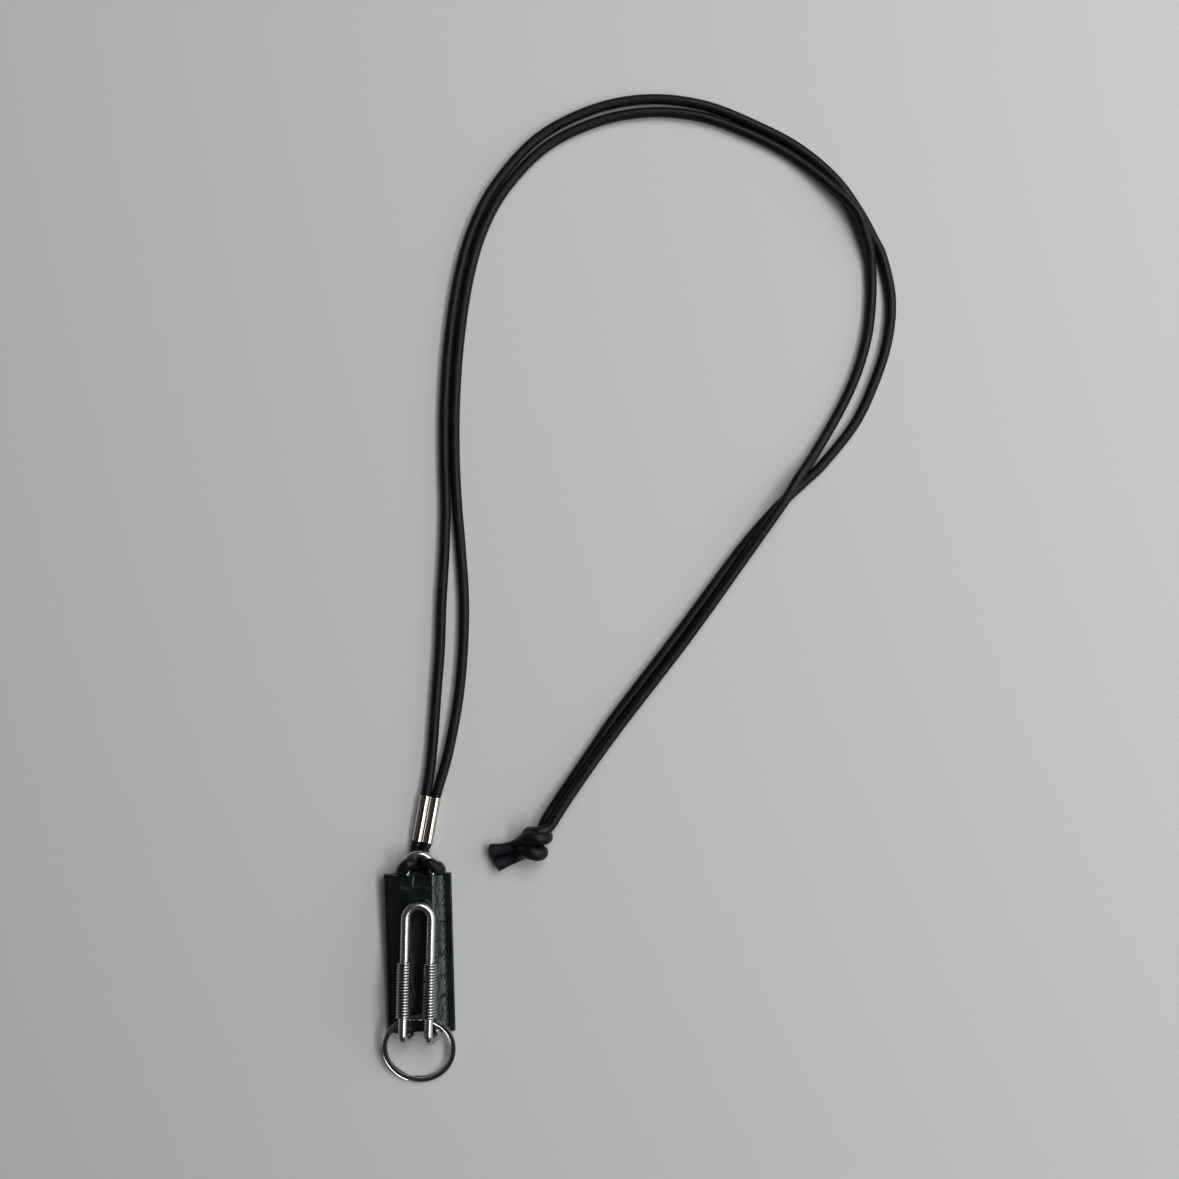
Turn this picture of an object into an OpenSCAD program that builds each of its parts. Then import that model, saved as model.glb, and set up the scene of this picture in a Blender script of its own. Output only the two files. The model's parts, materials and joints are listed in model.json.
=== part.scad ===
// Lanyard: a doubled leather cord hitched to a sprung wire clip with a leather sleeve and a key ring.
// The head lies on its back along Y, the cord loop lies on the same surface to its upper right.

/* [Wire clip] */
// Diameter of the spring wire
wire_d = 2.6; // [2.2:0.1:2.8]
// Distance between the two rear legs, centre to centre
rear_gap = 7.7; // [7:0.1:8.4]
// Distance between the two front legs, centre to centre
front_gap = 7.6; // [7:0.1:8.4]
// Height of the front legs above the rear legs at the hooks
hook_h = 7.3; // [7:0.1:7.6]
// Sideways step of the hooks from the rear legs to the front legs
hook_step = 1.7; // [1.2:0.1:2]
// Length of the front arm from the hooks to its outer tip
arm_l = 38.8; // [34:0.1:42]
// Slope of the front arm down towards the sleeve
arm_slope = 4.9; // [3:0.1:5]
// Sideways lean of the front arm
arm_lean = 2.5; // [1:0.1:4]

/* [Coils] */
// Diameter of the wire that each coil is wound from
coil_wire_d = 0.84; // [0.7:0.02:0.9]
// Number of turns in each coil
coil_turns = 20; // [14:1:22]
// Distance of the first turn from the hooks
coil_start = 4.3; // [3.5:0.1:6]

/* [Leather sleeve] */
// Width of the sleeve
sleeve_w = 20.3; // [18:0.1:22]
// Length of the sleeve
sleeve_l = 47.6; // [44:0.1:48]
// Thickness of the leather
leather_t = 0.75; // [0.6:0.05:0.8]
// Thickness of the stitched edge, both layers
edge_t = 1.7; // [1.5:0.1:2]
// Distance of the stitches from the edge
stitch_inset = 2.4; // [2:0.1:3]
// Distance from stitch to stitch
stitch_pitch = 2.6; // [2.2:0.1:3.2]

/* [Split ring] */
// Outer diameter of the ring
ring_d = 21.8; // [20:0.1:22]
// Radial width of the ring's flat wire
ring_w = 1.35; // [1.2:0.05:1.4]
// Thickness of one turn
ring_turn_t = 1; // [0.8:0.05:1]
// Slope of the ring, which rests on the sleeve at one side
ring_slope = 14.6; // [14:0.1:15]

/* [Cord] */
// Diameter of the leather cord
cord_d = 3; // [2.8:0.1:3]
// Diameter of the cord where the hitch and the ferrule squeeze it
tight_d = 2.7; // [2.5:0.1:2.7]
// Length of the double ferrule
ferrule_l = 13.7; // [10:0.1:16]
// Outer diameter of one barrel of the ferrule
barrel_d = 3.4; // [3.3:0.1:3.6]
// Distance between the two barrels, centre to centre
barrel_gap = 3; // [2.9:0.1:3.2]

/* [Hidden] */
$fn = 48;

steel = [0.78, 0.79, 0.8];
leather_green = [0.07, 0.1, 0.08];
cord_black = [0.06, 0.07, 0.09];

wire_r = wire_d / 2;
cord_r = cord_d / 2;
tight_r = tight_d / 2;

// The head's upper end lies on the hitch, so the head slopes about the sleeve's lower edge
head_slope = 2.7;
sleeve_y = -19.5;
sleeve_x = 0.65;
sleeve_h = wire_d + 2 * leather_t;
leg_z = leather_t + wire_r;
leg_x = 1.4;
leg_clear = 0.08;
eye_y = 30.1;

// The hooks turn from the rear legs to the front legs round the sleeve's mouth
hook_y = -17.9;
hook_r = 2.2;
hook_split = 0.4;
hook_reach = 7.9;
hook_lean = asin(hook_step / hook_h);
hook_rise = hook_h * cos(hook_lean);
// Each hook is bent in one plane, and bends over by more than a half turn to run on into the sloping arm
bend_over = asin(sin(arm_slope) / cos(hook_lean));
hook_turn = arm_lean - atan(tan(bend_over) * sin(hook_lean));
coil_r = wire_r + coil_wire_d;
coil_pitch = coil_wire_d + 0.02;
fold_r = 1.1;
thread_d = 0.5;

ring_mid_r = (ring_d - ring_w) / 2;
ring_y = -24.2;
ring_drop = ring_turn_t * cos(ring_slope) + ring_w / 2 * sin(ring_slope);
ring_z = ring_mid_r * sin(ring_slope) + ring_drop;

// The ferrule lies on its barrels; its cord ends leave at its upper face
ferrule_top = [5, 50.7];
ferrule_turn = 11.6;
ferrule_z = barrel_d / 2;

knot_at = [36.3, 36.4];

// Route of the cord pair: x, y of the middle, distance between the strands, height of each strand.
// A negative distance means that the right strand has crossed over the left one.
PAIR_ROUTE = [
    [5, 50.7, 3, 1.7, 1.7], [6.3, 55.5, 3.5, 1.6, 1.6], [8.3, 64.5, 4.9, 1.5, 1.5],
    [10.6, 79.5, 6.6, 1.5, 1.5], [12.2, 94, 6.9, 1.5, 1.5], [13, 109, 6.7, 1.5, 1.5],
    [13.3, 124, 4.9, 1.5, 1.5], [13.2, 138, 3.4, 1.5, 1.5], [13, 152.5, 3.1, 1.5, 1.5],
    [13.5, 169, 3.1, 1.5, 1.5], [15.2, 187, 3.1, 1.5, 1.5], [18.3, 205, 3.1, 1.5, 1.5],
    [23, 220, 3.1, 1.5, 1.5], [30.5, 233, 3.2, 1.5, 1.5], [43, 245.5, 3.6, 1.5, 1.5],
    [59, 253, 3.9, 1.5, 1.5], [75, 255.5, 3.9, 1.5, 1.5], [91, 253.5, 3.5, 1.5, 1.5],
    [106, 247.5, 3.1, 1.5, 1.5], [118.5, 240.5, 3.1, 1.5, 1.6], [129, 231.5, 2.7, 1.5, 2.9],
    [136.2, 222.5, 1.2, 1.5, 4.4], [140.2, 213.5, 2.4, 1.5, 3.4], [142, 207.5, 3.8, 1.5, 2],
    [143, 196, 5.9, 1.5, 1.5], [141.5, 184, 6.2, 1.5, 1.5], [137.5, 172, 5.9, 1.5, 1.5],
    [131.7, 160.5, 5.8, 1.5, 1.5], [123.2, 148.7, 3.8, 1.5, 2.2], [117.7, 142.5, 2.1, 1.5, 3.8],
    [112.7, 136.7, 0, 1.5, 4.7], [107.8, 131, -1.2, 1.5, 4.5], [98.9, 119.9, -2.4, 1.5, 3.5],
    [81.1, 96.5, -2.9, 1.5, 2.5], [62.2, 73, -2.7, 1.5, 3], [53.3, 61.1, -2.2, 1.5, 3.7],
    [44.8, 49.4, -2.1, 2, 4.6], [40, 42.3, -2.2, 3.1, 5.6]
];
STRAND_RINGS = 29;

// One half of the hitch, from the ferrule through the eye and over its own leg to the bar behind
// both legs: distance from the clip's middle line, y, height
HITCH_HALF = [
    [1.4, 35.6, 1.6], [1.4, 33.9, 1.6], [1.4, 32.7, 2.7], [1.45, 32, 4.6], [2.3, 31.6, 6.4],
    [4, 31.3, 7.1], [5.6, 30.7, 6.4], [6.2, 30.1, 4.5], [5.6, 29.8, 2.5], [4, 29.7, 1.8], [0, 29.7, 1.7]
];

// Route of each cut end, from inside the knot to the cut face
LEFT_TAIL = [[34, 35, 2.6], [30, 34.3, 1.9], [22.4, 33.6, 1.5]];
RIGHT_TAIL = [[34, 33.4, 2.4], [30, 31.9, 1.8], [24.4, 29.7, 1.5]];

// Position on a smooth curve through the rows of a list; i runs from 0 to the last row
function on_curve(rows, i) =
    let (last = len(rows) - 1, k = min(floor(i), last - 1), t = i - k,
        a = rows[max(k - 1, 0)], b = rows[k], c = rows[k + 1], d = rows[min(k + 2, last)])
    0.5 * (2 * b + (c - a) * t + (2 * a - 5 * b + 4 * c - d) * t * t + (3 * b - a - 3 * c + d) * t * t * t);

function unit(v) = v / norm(v);

// A strand's centre line: side is -1 for the left strand and 1 for the right strand
function strand_at(side, i) =
    let (row = on_curve(PAIR_ROUTE, i), before = on_curve(PAIR_ROUTE, max(i - 0.05, 0)),
        after = on_curve(PAIR_ROUTE, min(i + 0.05, len(PAIR_ROUTE) - 1)),
        run = unit([after[0] - before[0], after[1] - before[1]]))
    [row[0] + side * run[1] * row[2] / 2, row[1] - side * run[0] * row[2] / 2, side < 0 ? row[3] : row[4]];

function strand_path(side) =
    [for (n = [0:STRAND_RINGS - 1]) strand_at(side, n * (len(PAIR_ROUTE) - 1) / (STRAND_RINGS - 1))];

// Direction of a path at each of its points
function headings(path) =
    [for (n = [0:len(path) - 1]) unit(path[min(n + 1, len(path) - 1)] - path[max(n - 1, 0)])];

// Side vectors that follow the path without twisting
function sides(dirs, n, v) =
    let (s = unit(v - (v * dirs[n]) * dirs[n]))
    n == len(dirs) - 1 ? [s] : concat([s], sides(dirs, n + 1, s));

// A round cord or wire, of eight flats unless told otherwise, swept along a path
module cord_tube(path, r, first_side, flats = 8) {
    dirs = headings(path);
    side = sides(dirs, 0, first_side);
    rings = [for (n = [0:len(path) - 1]) for (k = [0:flats - 1])
        let (a = k * 360 / flats, up = cross(side[n], dirs[n]))
        path[n] + r * (cos(a) * side[n] + sin(a) * up)];
    last = (len(path) - 1) * flats;
    walls = [for (n = [0:len(path) - 2]) for (k = [0:flats - 1]) for (half = [0, 1])
        let (a = n * flats + k, b = n * flats + (k + 1) % flats)
        half == 0 ? [a, b, b + flats] : [a, b + flats, a + flats]];
    caps = [[for (k = [flats - 1:-1:0]) k], [for (k = [0:flats - 1]) last + k]];
    polyhedron(points = rings, faces = concat(walls, caps));
}

// Puts a piece of the head at the slope at which the head lies
module lay_head() {
    translate([0, sleeve_y, 0]) rotate([head_slope, 0, 0]) translate([0, -sleeve_y, 0]) children();
}

// Puts a piece in the front arm's frame: its origin between the hooks' upper ends, +Y to the tip
module arm_frame() {
    lay_head() translate([leg_x - hook_step, hook_y, leg_z + hook_rise]) rotate([-arm_slope, 0, -arm_lean])
        children();
}

// A straight rod along Y
module rod(r, y0, y1) {
    translate([0, y0, 0]) rotate([-90, 0, 0]) cylinder(r = r, h = y1 - y0);
}

// The half circle at the end of a wire loop, in the XY plane, opening towards -Y
module loop_end(gap) {
    rotate_extrude(angle = 180) translate([gap / 2, 0]) circle(r = wire_r);
}

// Points along an arc, from angle a0 to angle a1
function arc_points(x, z, r, a0, a1, steps) =
    [for (n = [0:steps]) let (a = a0 + (a1 - a0) * n / steps) [x + r * cos(a), z + r * sin(a)]];

// A soft step between two heights
function soft_step(x0, z0, x1, z1, steps) =
    [for (n = [0:steps]) let (t = n / steps) [x0 + (x1 - x0) * t, z0 + (z1 - z0) * (3 * t * t - 2 * t * t * t)]];

// The sleeve across its length: folded at the left, raised over the wire, thin at the stitched edge
module sleeve_outline() {
    left = -sleeve_w / 2;
    right = sleeve_w / 2;
    middle = leg_x - sleeve_x;
    reach = rear_gap / 2;
    crown_left = middle - reach - wire_r - 0.6;
    crown_right = middle + reach - 0.3;
    seam_left = right - stitch_inset - 0.25;
    difference() {
        polygon(concat(
            arc_points(left + fold_r, fold_r, fold_r, 270, 90, 8),
            soft_step(left + fold_r + 0.2, 2 * fold_r, crown_left, sleeve_h, 8),
            soft_step(crown_right, sleeve_h, seam_left, edge_t, 10),
            [[right - 0.4, edge_t], [right, edge_t - 0.4], [right, 0.3], [right - 0.3, 0]]));
        // the space for the wire and the filler
        polygon(concat(
            arc_points(middle + reach, leg_z, wire_r + leg_clear, -90, 90, 12),
            arc_points(middle - reach, leg_z, wire_r + leg_clear, 90, 270, 12)));
    }
}

module leather_sleeve() {
    notch_l = 0.8;
    notch_w = rear_gap + wire_d + 1;
    color(leather_green) lay_head() difference() {
        translate([sleeve_x, sleeve_y + sleeve_l, 0]) rotate([90, 0, 0]) linear_extrude(sleeve_l) sleeve_outline();
        // the front leather stops short at the mouth, where the hooks turn up to the front
        translate([leg_x - notch_w / 2, sleeve_y - 1, leg_z]) cube([notch_w, notch_l + 1, sleeve_h]);
        for (s = [-1, 1]) translate([leg_x + s * rear_gap / 2, hook_y, leg_z])
            rotate([-30, 0, 0]) rod(wire_r + 0.3, -4, 0);
    }
}

module sleeve_filler() {
    inner = rear_gap - wire_d - 0.1;
    color("tan") lay_head() translate([leg_x - inner / 2, sleeve_y + 3, leg_z - wire_r])
        cube([inner, sleeve_l - 5, wire_d]);
}

// Short stitches on the front, each with its ends going down through both layers
module sleeve_stitching() {
    count = floor((sleeve_l - 3) / stitch_pitch);
    first = sleeve_y + (sleeve_l - count * stitch_pitch) / 2;
    gap = 0.35;
    color("black") lay_head() translate([sleeve_x + sleeve_w / 2 - stitch_inset, 0, 0]) for (n = [0:count - 1]) {
        y0 = first + n * stitch_pitch + gap;
        y1 = first + (n + 1) * stitch_pitch - gap;
        translate([0, 0, edge_t]) rod(thread_d / 2, y0, y1);
        for (y = [y0 + thread_d / 2, y1 - thread_d / 2]) translate([0, y, thread_d])
            cylinder(d = thread_d, h = edge_t - thread_d);
    }
}

module rear_wire() {
    color(steel) lay_head() translate([leg_x, 0, leg_z]) {
        for (s = [-1, 1]) translate([s * rear_gap / 2, 0, 0]) rod(wire_r, hook_y + hook_split, eye_y);
        translate([0, eye_y, 0]) loop_end(rear_gap);
    }
}

// One hook: out of the sleeve, up round the mouth and back over the front to inside the coil
module hook(side) {
    low = -hook_h + hook_r;
    high = -hook_r * cos(bend_over);
    out = -hook_r * sin(bend_over);
    arcs = concat(arc_points(out, low, hook_r, 270, 180, 7), arc_points(out, high, hook_r, 180, 90 - bend_over, 7));
    path = concat([for (p = arcs) [0, p[0], p[1]]],
        [[0, hook_reach * cos(bend_over), -hook_reach * sin(bend_over)]]);
    color(steel) lay_head()
        translate([leg_x - hook_step, hook_y, leg_z + hook_rise])
            rotate([0, 0, -arm_lean]) translate([side * front_gap / 2, 0, 0]) rotate([0, 0, arm_lean - hook_turn])
                rotate([0, -hook_lean, 0]) cord_tube(path, wire_r, [1, 0, 0], 16);
}

module left_hook() {
    hook(-1);
}

module right_hook() {
    hook(1);
}

module front_arm() {
    end_y = arm_l - front_gap / 2 - wire_r;
    color(steel) arm_frame() {
        for (s = [-1, 1]) translate([s * front_gap / 2, 0, 0]) rod(wire_r, hook_reach, end_y);
        translate([0, end_y, 0]) loop_end(front_gap);
    }
}

// A close coil, its turns shown as rounds along a thin tube
module coil(side) {
    turn_r = coil_wire_d / 2;
    color([0.7, 0.71, 0.72]) arm_frame() translate([side * front_gap / 2, coil_start, 0])
        rotate([-90, 0, 0]) rotate_extrude() {
            for (n = [0:coil_turns - 1]) translate([coil_r - turn_r, turn_r + n * coil_pitch]) circle(r = turn_r);
            translate([wire_r + 0.02, 0.1]) square([turn_r, coil_turns * coil_pitch - 0.2]);
        }
}

module left_coil() {
    coil(-1);
}

module right_coil() {
    coil(1);
}

module split_ring() {
    edge = 0.25;
    color(steel) translate([0, ring_y, ring_z]) rotate([ring_slope, 0, 0]) rotate_extrude($fn = 96)
        for (s = [0, 1]) translate([ring_mid_r, (s - 0.5) * ring_turn_t]) polygon([
            [-ring_w / 2 + edge, -ring_turn_t / 2], [ring_w / 2 - edge, -ring_turn_t / 2],
            [ring_w / 2, -ring_turn_t / 2 + edge], [ring_w / 2, ring_turn_t / 2 - edge],
            [ring_w / 2 - edge, ring_turn_t / 2], [-ring_w / 2 + edge, ring_turn_t / 2],
            [-ring_w / 2, ring_turn_t / 2 - edge], [-ring_w / 2, -ring_turn_t / 2 + edge]]);
}

// Puts a piece in the ferrule's frame: its origin between the barrels' upper ends, +Y along the cord
module ferrule_frame() {
    translate([ferrule_top[0], ferrule_top[1], ferrule_z]) rotate([0, 0, -ferrule_turn]) children();
}

module cord_ferrule() {
    color("silver") ferrule_frame() difference() {
        for (s = [-1, 1]) translate([s * barrel_gap / 2, 0, 0]) rod(barrel_d / 2, -ferrule_l, 0);
        for (s = [-1, 1]) translate([s * barrel_gap / 2, 0, 0]) rod(tight_r + 0.02, -ferrule_l - 1, 1);
    }
}

// A point of the ferrule's frame in the part's frame
function ferrule_point(side, y) = [
    ferrule_top[0] + side * barrel_gap / 2 * cos(ferrule_turn) + y * sin(ferrule_turn),
    ferrule_top[1] - side * barrel_gap / 2 * sin(ferrule_turn) + y * cos(ferrule_turn), ferrule_z];

function hitch_side(side) = [for (p = HITCH_HALF) [leg_x + side * p[0], p[1], p[2]]];

module cord_hitch() {
    left = concat([ferrule_point(-1, 0), ferrule_point(-1, -ferrule_l)], hitch_side(-1));
    right = concat([ferrule_point(1, 0), ferrule_point(1, -ferrule_l)], hitch_side(1));
    path = concat(left, [for (n = [len(right) - 2:-1:0]) right[n]]);
    color(cord_black) cord_tube(path, tight_r, [1, 0, 0]);
}

module left_strand() {
    color(cord_black) cord_tube(strand_path(-1), cord_r, [1, 0, 0]);
}

module right_strand() {
    color(cord_black) cord_tube(strand_path(1), cord_r, [1, 0, 0]);
}

// The outer shape of the overhand knot that ties both strands
module end_knot() {
    color(cord_black) hull() {
        translate([knot_at[0] - 0.4, knot_at[1] - 0.4, 4.3]) sphere(r = 4.3, $fn = 32);
        translate([knot_at[0] + 2.3, knot_at[1] + 2.4, 5.6]) sphere(r = 2.8, $fn = 24);
        translate([knot_at[0] + 1.8, knot_at[1] - 2, 3.4]) sphere(r = 2.9, $fn = 24);
    }
}

module left_tail() {
    color(cord_black) cord_tube(LEFT_TAIL, cord_r, [0, 1, 0]);
}

module right_tail() {
    color(cord_black) cord_tube(RIGHT_TAIL, cord_r, [0, 1, 0]);
}

leather_sleeve();
sleeve_filler();
sleeve_stitching();
rear_wire();
left_hook();
right_hook();
front_arm();
left_coil();
right_coil();
split_ring();
cord_ferrule();
cord_hitch();
left_strand();
right_strand();
end_knot();
left_tail();
right_tail();
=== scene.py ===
"""Looks of a neck lanyard: its cord, ferrule, sprung wire clip, leather sleeve and key ring."""

import contextlib
import json
import logging
import math
from dataclasses import dataclass, field
from enum import Enum
from typing import Callable, Iterator, Sequence

import bmesh
import bpy
from mathutils import Euler, Matrix, Vector

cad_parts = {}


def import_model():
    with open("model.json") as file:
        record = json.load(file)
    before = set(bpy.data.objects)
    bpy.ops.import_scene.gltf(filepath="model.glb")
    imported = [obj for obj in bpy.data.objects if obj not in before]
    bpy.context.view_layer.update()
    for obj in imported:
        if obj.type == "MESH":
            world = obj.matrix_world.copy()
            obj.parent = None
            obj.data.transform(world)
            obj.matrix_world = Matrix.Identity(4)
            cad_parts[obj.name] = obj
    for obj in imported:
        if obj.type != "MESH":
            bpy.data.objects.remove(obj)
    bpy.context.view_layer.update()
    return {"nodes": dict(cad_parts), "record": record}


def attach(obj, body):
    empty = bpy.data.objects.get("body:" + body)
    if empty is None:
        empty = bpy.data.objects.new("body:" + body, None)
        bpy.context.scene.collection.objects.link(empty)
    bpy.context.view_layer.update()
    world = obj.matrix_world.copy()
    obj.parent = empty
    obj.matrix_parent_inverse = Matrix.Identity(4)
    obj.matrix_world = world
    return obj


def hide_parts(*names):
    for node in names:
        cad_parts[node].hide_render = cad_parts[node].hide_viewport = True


LOG = logging.getLogger("lanyard")
MM = 0.001
WELD_DISTANCE = 0.001 * MM
WIRE_WELD_DISTANCE = 0.005 * MM
Point = tuple[float, float, float]


class Body(Enum):
    """The bodies that the pieces ride on."""

    ROOT = "root"
    ARM = "clip_arm"
    RING = "key_ring"


class Side(Enum):
    """Left or right of a pair, as a sign along +X."""

    LEFT = -1
    RIGHT = 1


# ---------------------------------------------------------------------------------------------------
# Mesh helpers
# ---------------------------------------------------------------------------------------------------


def pick_nothing() -> None:
    """Leaves no object selected and none in edit mode."""
    if bpy.context.object and bpy.context.object.mode != "OBJECT":
        bpy.ops.object.mode_set(mode="OBJECT")
    bpy.ops.object.select_all(action="DESELECT")


def pick(piece: bpy.types.Object) -> None:
    """Makes one object the only selected one.

    Args:
        piece: The object to select and make active.
    """
    pick_nothing()
    piece.select_set(True)
    bpy.context.view_layer.objects.active = piece


@contextlib.contextmanager
def editing(piece: bpy.types.Object) -> Iterator[bpy.types.Object]:
    """Puts one object in edit mode for the length of a with block.

    Args:
        piece: The object to edit.

    Yields:
        The same object.
    """
    pick(piece)
    bpy.ops.object.mode_set(mode="EDIT")
    yield piece
    bpy.ops.object.mode_set(mode="OBJECT")


def select_points(piece: bpy.types.Object, test: Callable[[Vector], bool]) -> None:
    """Selects the points of the piece in edit mode that pass a test.

    Args:
        piece: An object in edit mode.
        test: Takes a point in the piece's own space and says whether to select it.
    """
    bpy.ops.mesh.select_mode(type="VERT")
    bpy.ops.mesh.select_all(action="DESELECT")
    mesh = bmesh.from_edit_mesh(piece.data)
    for point in mesh.verts:
        if test(point.co):
            point.select_set(True)
    bmesh.update_edit_mesh(piece.data)


def apply_modifiers(piece: bpy.types.Object) -> None:
    """Applies all the modifiers of a piece in their order."""
    pick(piece)
    for modifier in list(piece.modifiers):
        bpy.ops.object.modifier_apply(modifier=modifier.name)


def weld(piece: bpy.types.Object) -> None:
    """Merges the doubled points of a closed piece and turns its faces outwards."""
    with editing(piece):
        bpy.ops.mesh.select_all(action="SELECT")
        bpy.ops.mesh.remove_doubles(threshold=WELD_DISTANCE)
        bpy.ops.mesh.normals_make_consistent(inside=False)


def settle(
    piece: bpy.types.Object, name: str, place: Matrix = Matrix(), angle: float = 40
) -> bpy.types.Object:
    """Names a piece, moves its place into its mesh and shades it smooth.

    Args:
        piece: The modelled object.
        name: The piece's name.
        place: Where the piece goes, as a matrix over its own placing.
        angle: Edges sharper than this many degrees stay crisp.

    Returns:
        The same object, at the origin.
    """
    piece.name = name
    piece.data.name = name
    piece.data.transform(place @ piece.matrix_basis)
    piece.matrix_basis = Matrix()
    pick(piece)
    bpy.ops.object.shade_smooth_by_angle(angle=math.radians(angle))
    return piece


def mesh_piece(
    name: str, points: Sequence[Vector], faces: Sequence[Sequence[int]]
) -> bpy.types.Object:
    """Makes an object from points and faces.

    Args:
        name: The new object's name.
        points: Its vertices, in metres.
        faces: Its faces, as indices of the vertices.

    Returns:
        The new object, linked to the scene.
    """
    mesh = bpy.data.meshes.new(name)
    mesh.from_pydata([tuple(p) for p in points], [], [list(f) for f in faces])
    mesh.update()
    piece = bpy.data.objects.new(name, mesh)
    bpy.context.collection.objects.link(piece)
    return piece


def curve_value(rows: Sequence[Sequence[float]], at: float) -> list[float]:
    """Reads a smooth curve that runs through the rows of a list.

    Args:
        rows: The values at each step.
        at: Position along the list, from 0 to the last row.

    Returns:
        One value for each column.
    """
    last = len(rows) - 1
    k = min(int(at), last - 1)
    t = at - k
    a, b, c, d = rows[max(k - 1, 0)], rows[k], rows[k + 1], rows[min(k + 2, last)]
    return [
        0.5 * (2 * q + (r - p) * t + (2 * p - 5 * q + 4 * r - s) * t * t + (3 * q - p - 3 * r + s) * t ** 3)
        for p, q, r, s in zip(a, b, c, d)
    ]


# ---------------------------------------------------------------------------------------------------
# Node groups: effects that several finishes share
# ---------------------------------------------------------------------------------------------------


class NodeSheet:
    """Adds and joins the nodes of one material or node group."""

    def __init__(self, tree: bpy.types.NodeTree) -> None:
        """Starts on a node tree.

        Args:
            tree: The material's or the group's tree.
        """
        self.tree = tree

    def add(self, kind: str, **settings: object) -> bpy.types.Node:
        """Adds a node.

        Args:
            kind: The node's Blender type.
            **settings: Properties of the node.

        Returns:
            The new node.
        """
        node = self.tree.nodes.new(kind)
        for name, value in settings.items():
            setattr(node, name, value)
        return node

    def feed(self, node: bpy.types.Node, **inputs: object) -> bpy.types.Node:
        """Sets or links inputs of a node; an underscore in a name stands for a space.

        Args:
            node: The node whose inputs are set.
            **inputs: A value, or an output socket to link.

        Returns:
            The same node.
        """
        for name, value in inputs.items():
            key = int(name[1:]) if name[0] == "i" and name[1:].isdigit() else name.replace("_", " ")
            socket = node.inputs[key]
            if isinstance(value, bpy.types.NodeSocket):
                self.tree.links.new(value, socket)
            else:
                socket.default_value = value
        return node

    def maths(
        self, operation: str, a: object, b: object = 0.0, clamp: bool = False
    ) -> bpy.types.NodeSocket:
        """Adds a maths node and gives its result.

        Args:
            operation: The operation's name.
            a: First value or socket.
            b: Second value or socket.
            clamp: Whether to keep the result between 0 and 1.

        Returns:
            The result's socket.
        """
        node = self.add("ShaderNodeMath", operation=operation, use_clamp=clamp)
        return self.feed(node, i0=a, i1=b).outputs[0]

    def blend(self, factor: object, a: object, b: object) -> bpy.types.NodeSocket:
        """Mixes two colours.

        Args:
            factor: How much of the second colour.
            a: First colour or socket.
            b: Second colour or socket.

        Returns:
            The mixed colour's socket.
        """
        node = self.add("ShaderNodeMix", data_type="RGBA")
        return self.feed(node, i0=factor, i6=a, i7=b).outputs[2]

    def noise(
        self, vector: object, scale: float, detail: float = 3, roughness: float = 0.5
    ) -> bpy.types.NodeSocket:
        """Adds smooth noise and gives its value.

        Args:
            vector: The coordinates' socket.
            scale: Noise scale, per metre.
            detail: How many octaves.
            roughness: How strong the fine octaves are.

        Returns:
            The noise value's socket.
        """
        node = self.add("ShaderNodeTexNoise")
        return self.feed(node, Vector=vector, Scale=scale, Detail=detail, Roughness=roughness).outputs[0]

    def stretch(self, vector: object, scale: Point) -> bpy.types.NodeSocket:
        """Scales coordinates.

        Args:
            vector: The coordinates' socket.
            scale: The factor along each axis.

        Returns:
            The scaled coordinates' socket.
        """
        node = self.add("ShaderNodeMapping")
        return self.feed(node, Vector=vector, Scale=scale).outputs[0]

    def remap(
        self, value: object, low: float, high: float, to_low: float = 0, to_high: float = 1
    ) -> bpy.types.NodeSocket:
        """Stretches a range of values to another, and clamps it.

        Args:
            value: The value's socket.
            low: Start of the range.
            high: End of the range.
            to_low: What the start becomes.
            to_high: What the end becomes.

        Returns:
            The new value's socket.
        """
        node = self.add("ShaderNodeMapRange")
        return self.feed(node, Value=value, i1=low, i2=high, i3=to_low, i4=to_high).outputs[0]


@dataclass(frozen=True)
class GroupPlan:
    """Named inputs and outputs of a shared node group."""

    name: str
    inputs: tuple[tuple[str, str, float], ...]
    outputs: tuple[tuple[str, str], ...]

    def start(self) -> tuple[NodeSheet, bpy.types.Node, bpy.types.Node]:
        """Makes the empty group with its sockets.

        Returns:
            The group's sheet, its input node and its output node.
        """
        tree = bpy.data.node_groups.new(self.name, "ShaderNodeTree")
        for name, kind, value in self.inputs:
            socket = tree.interface.new_socket(name, in_out="INPUT", socket_type=kind)
            if kind == "NodeSocketFloat":
                socket.default_value = value
        for name, kind in self.outputs:
            tree.interface.new_socket(name, in_out="OUTPUT", socket_type=kind)
        sheet = NodeSheet(tree)
        return sheet, sheet.add("NodeGroupInput"), sheet.add("NodeGroupOutput")


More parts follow.
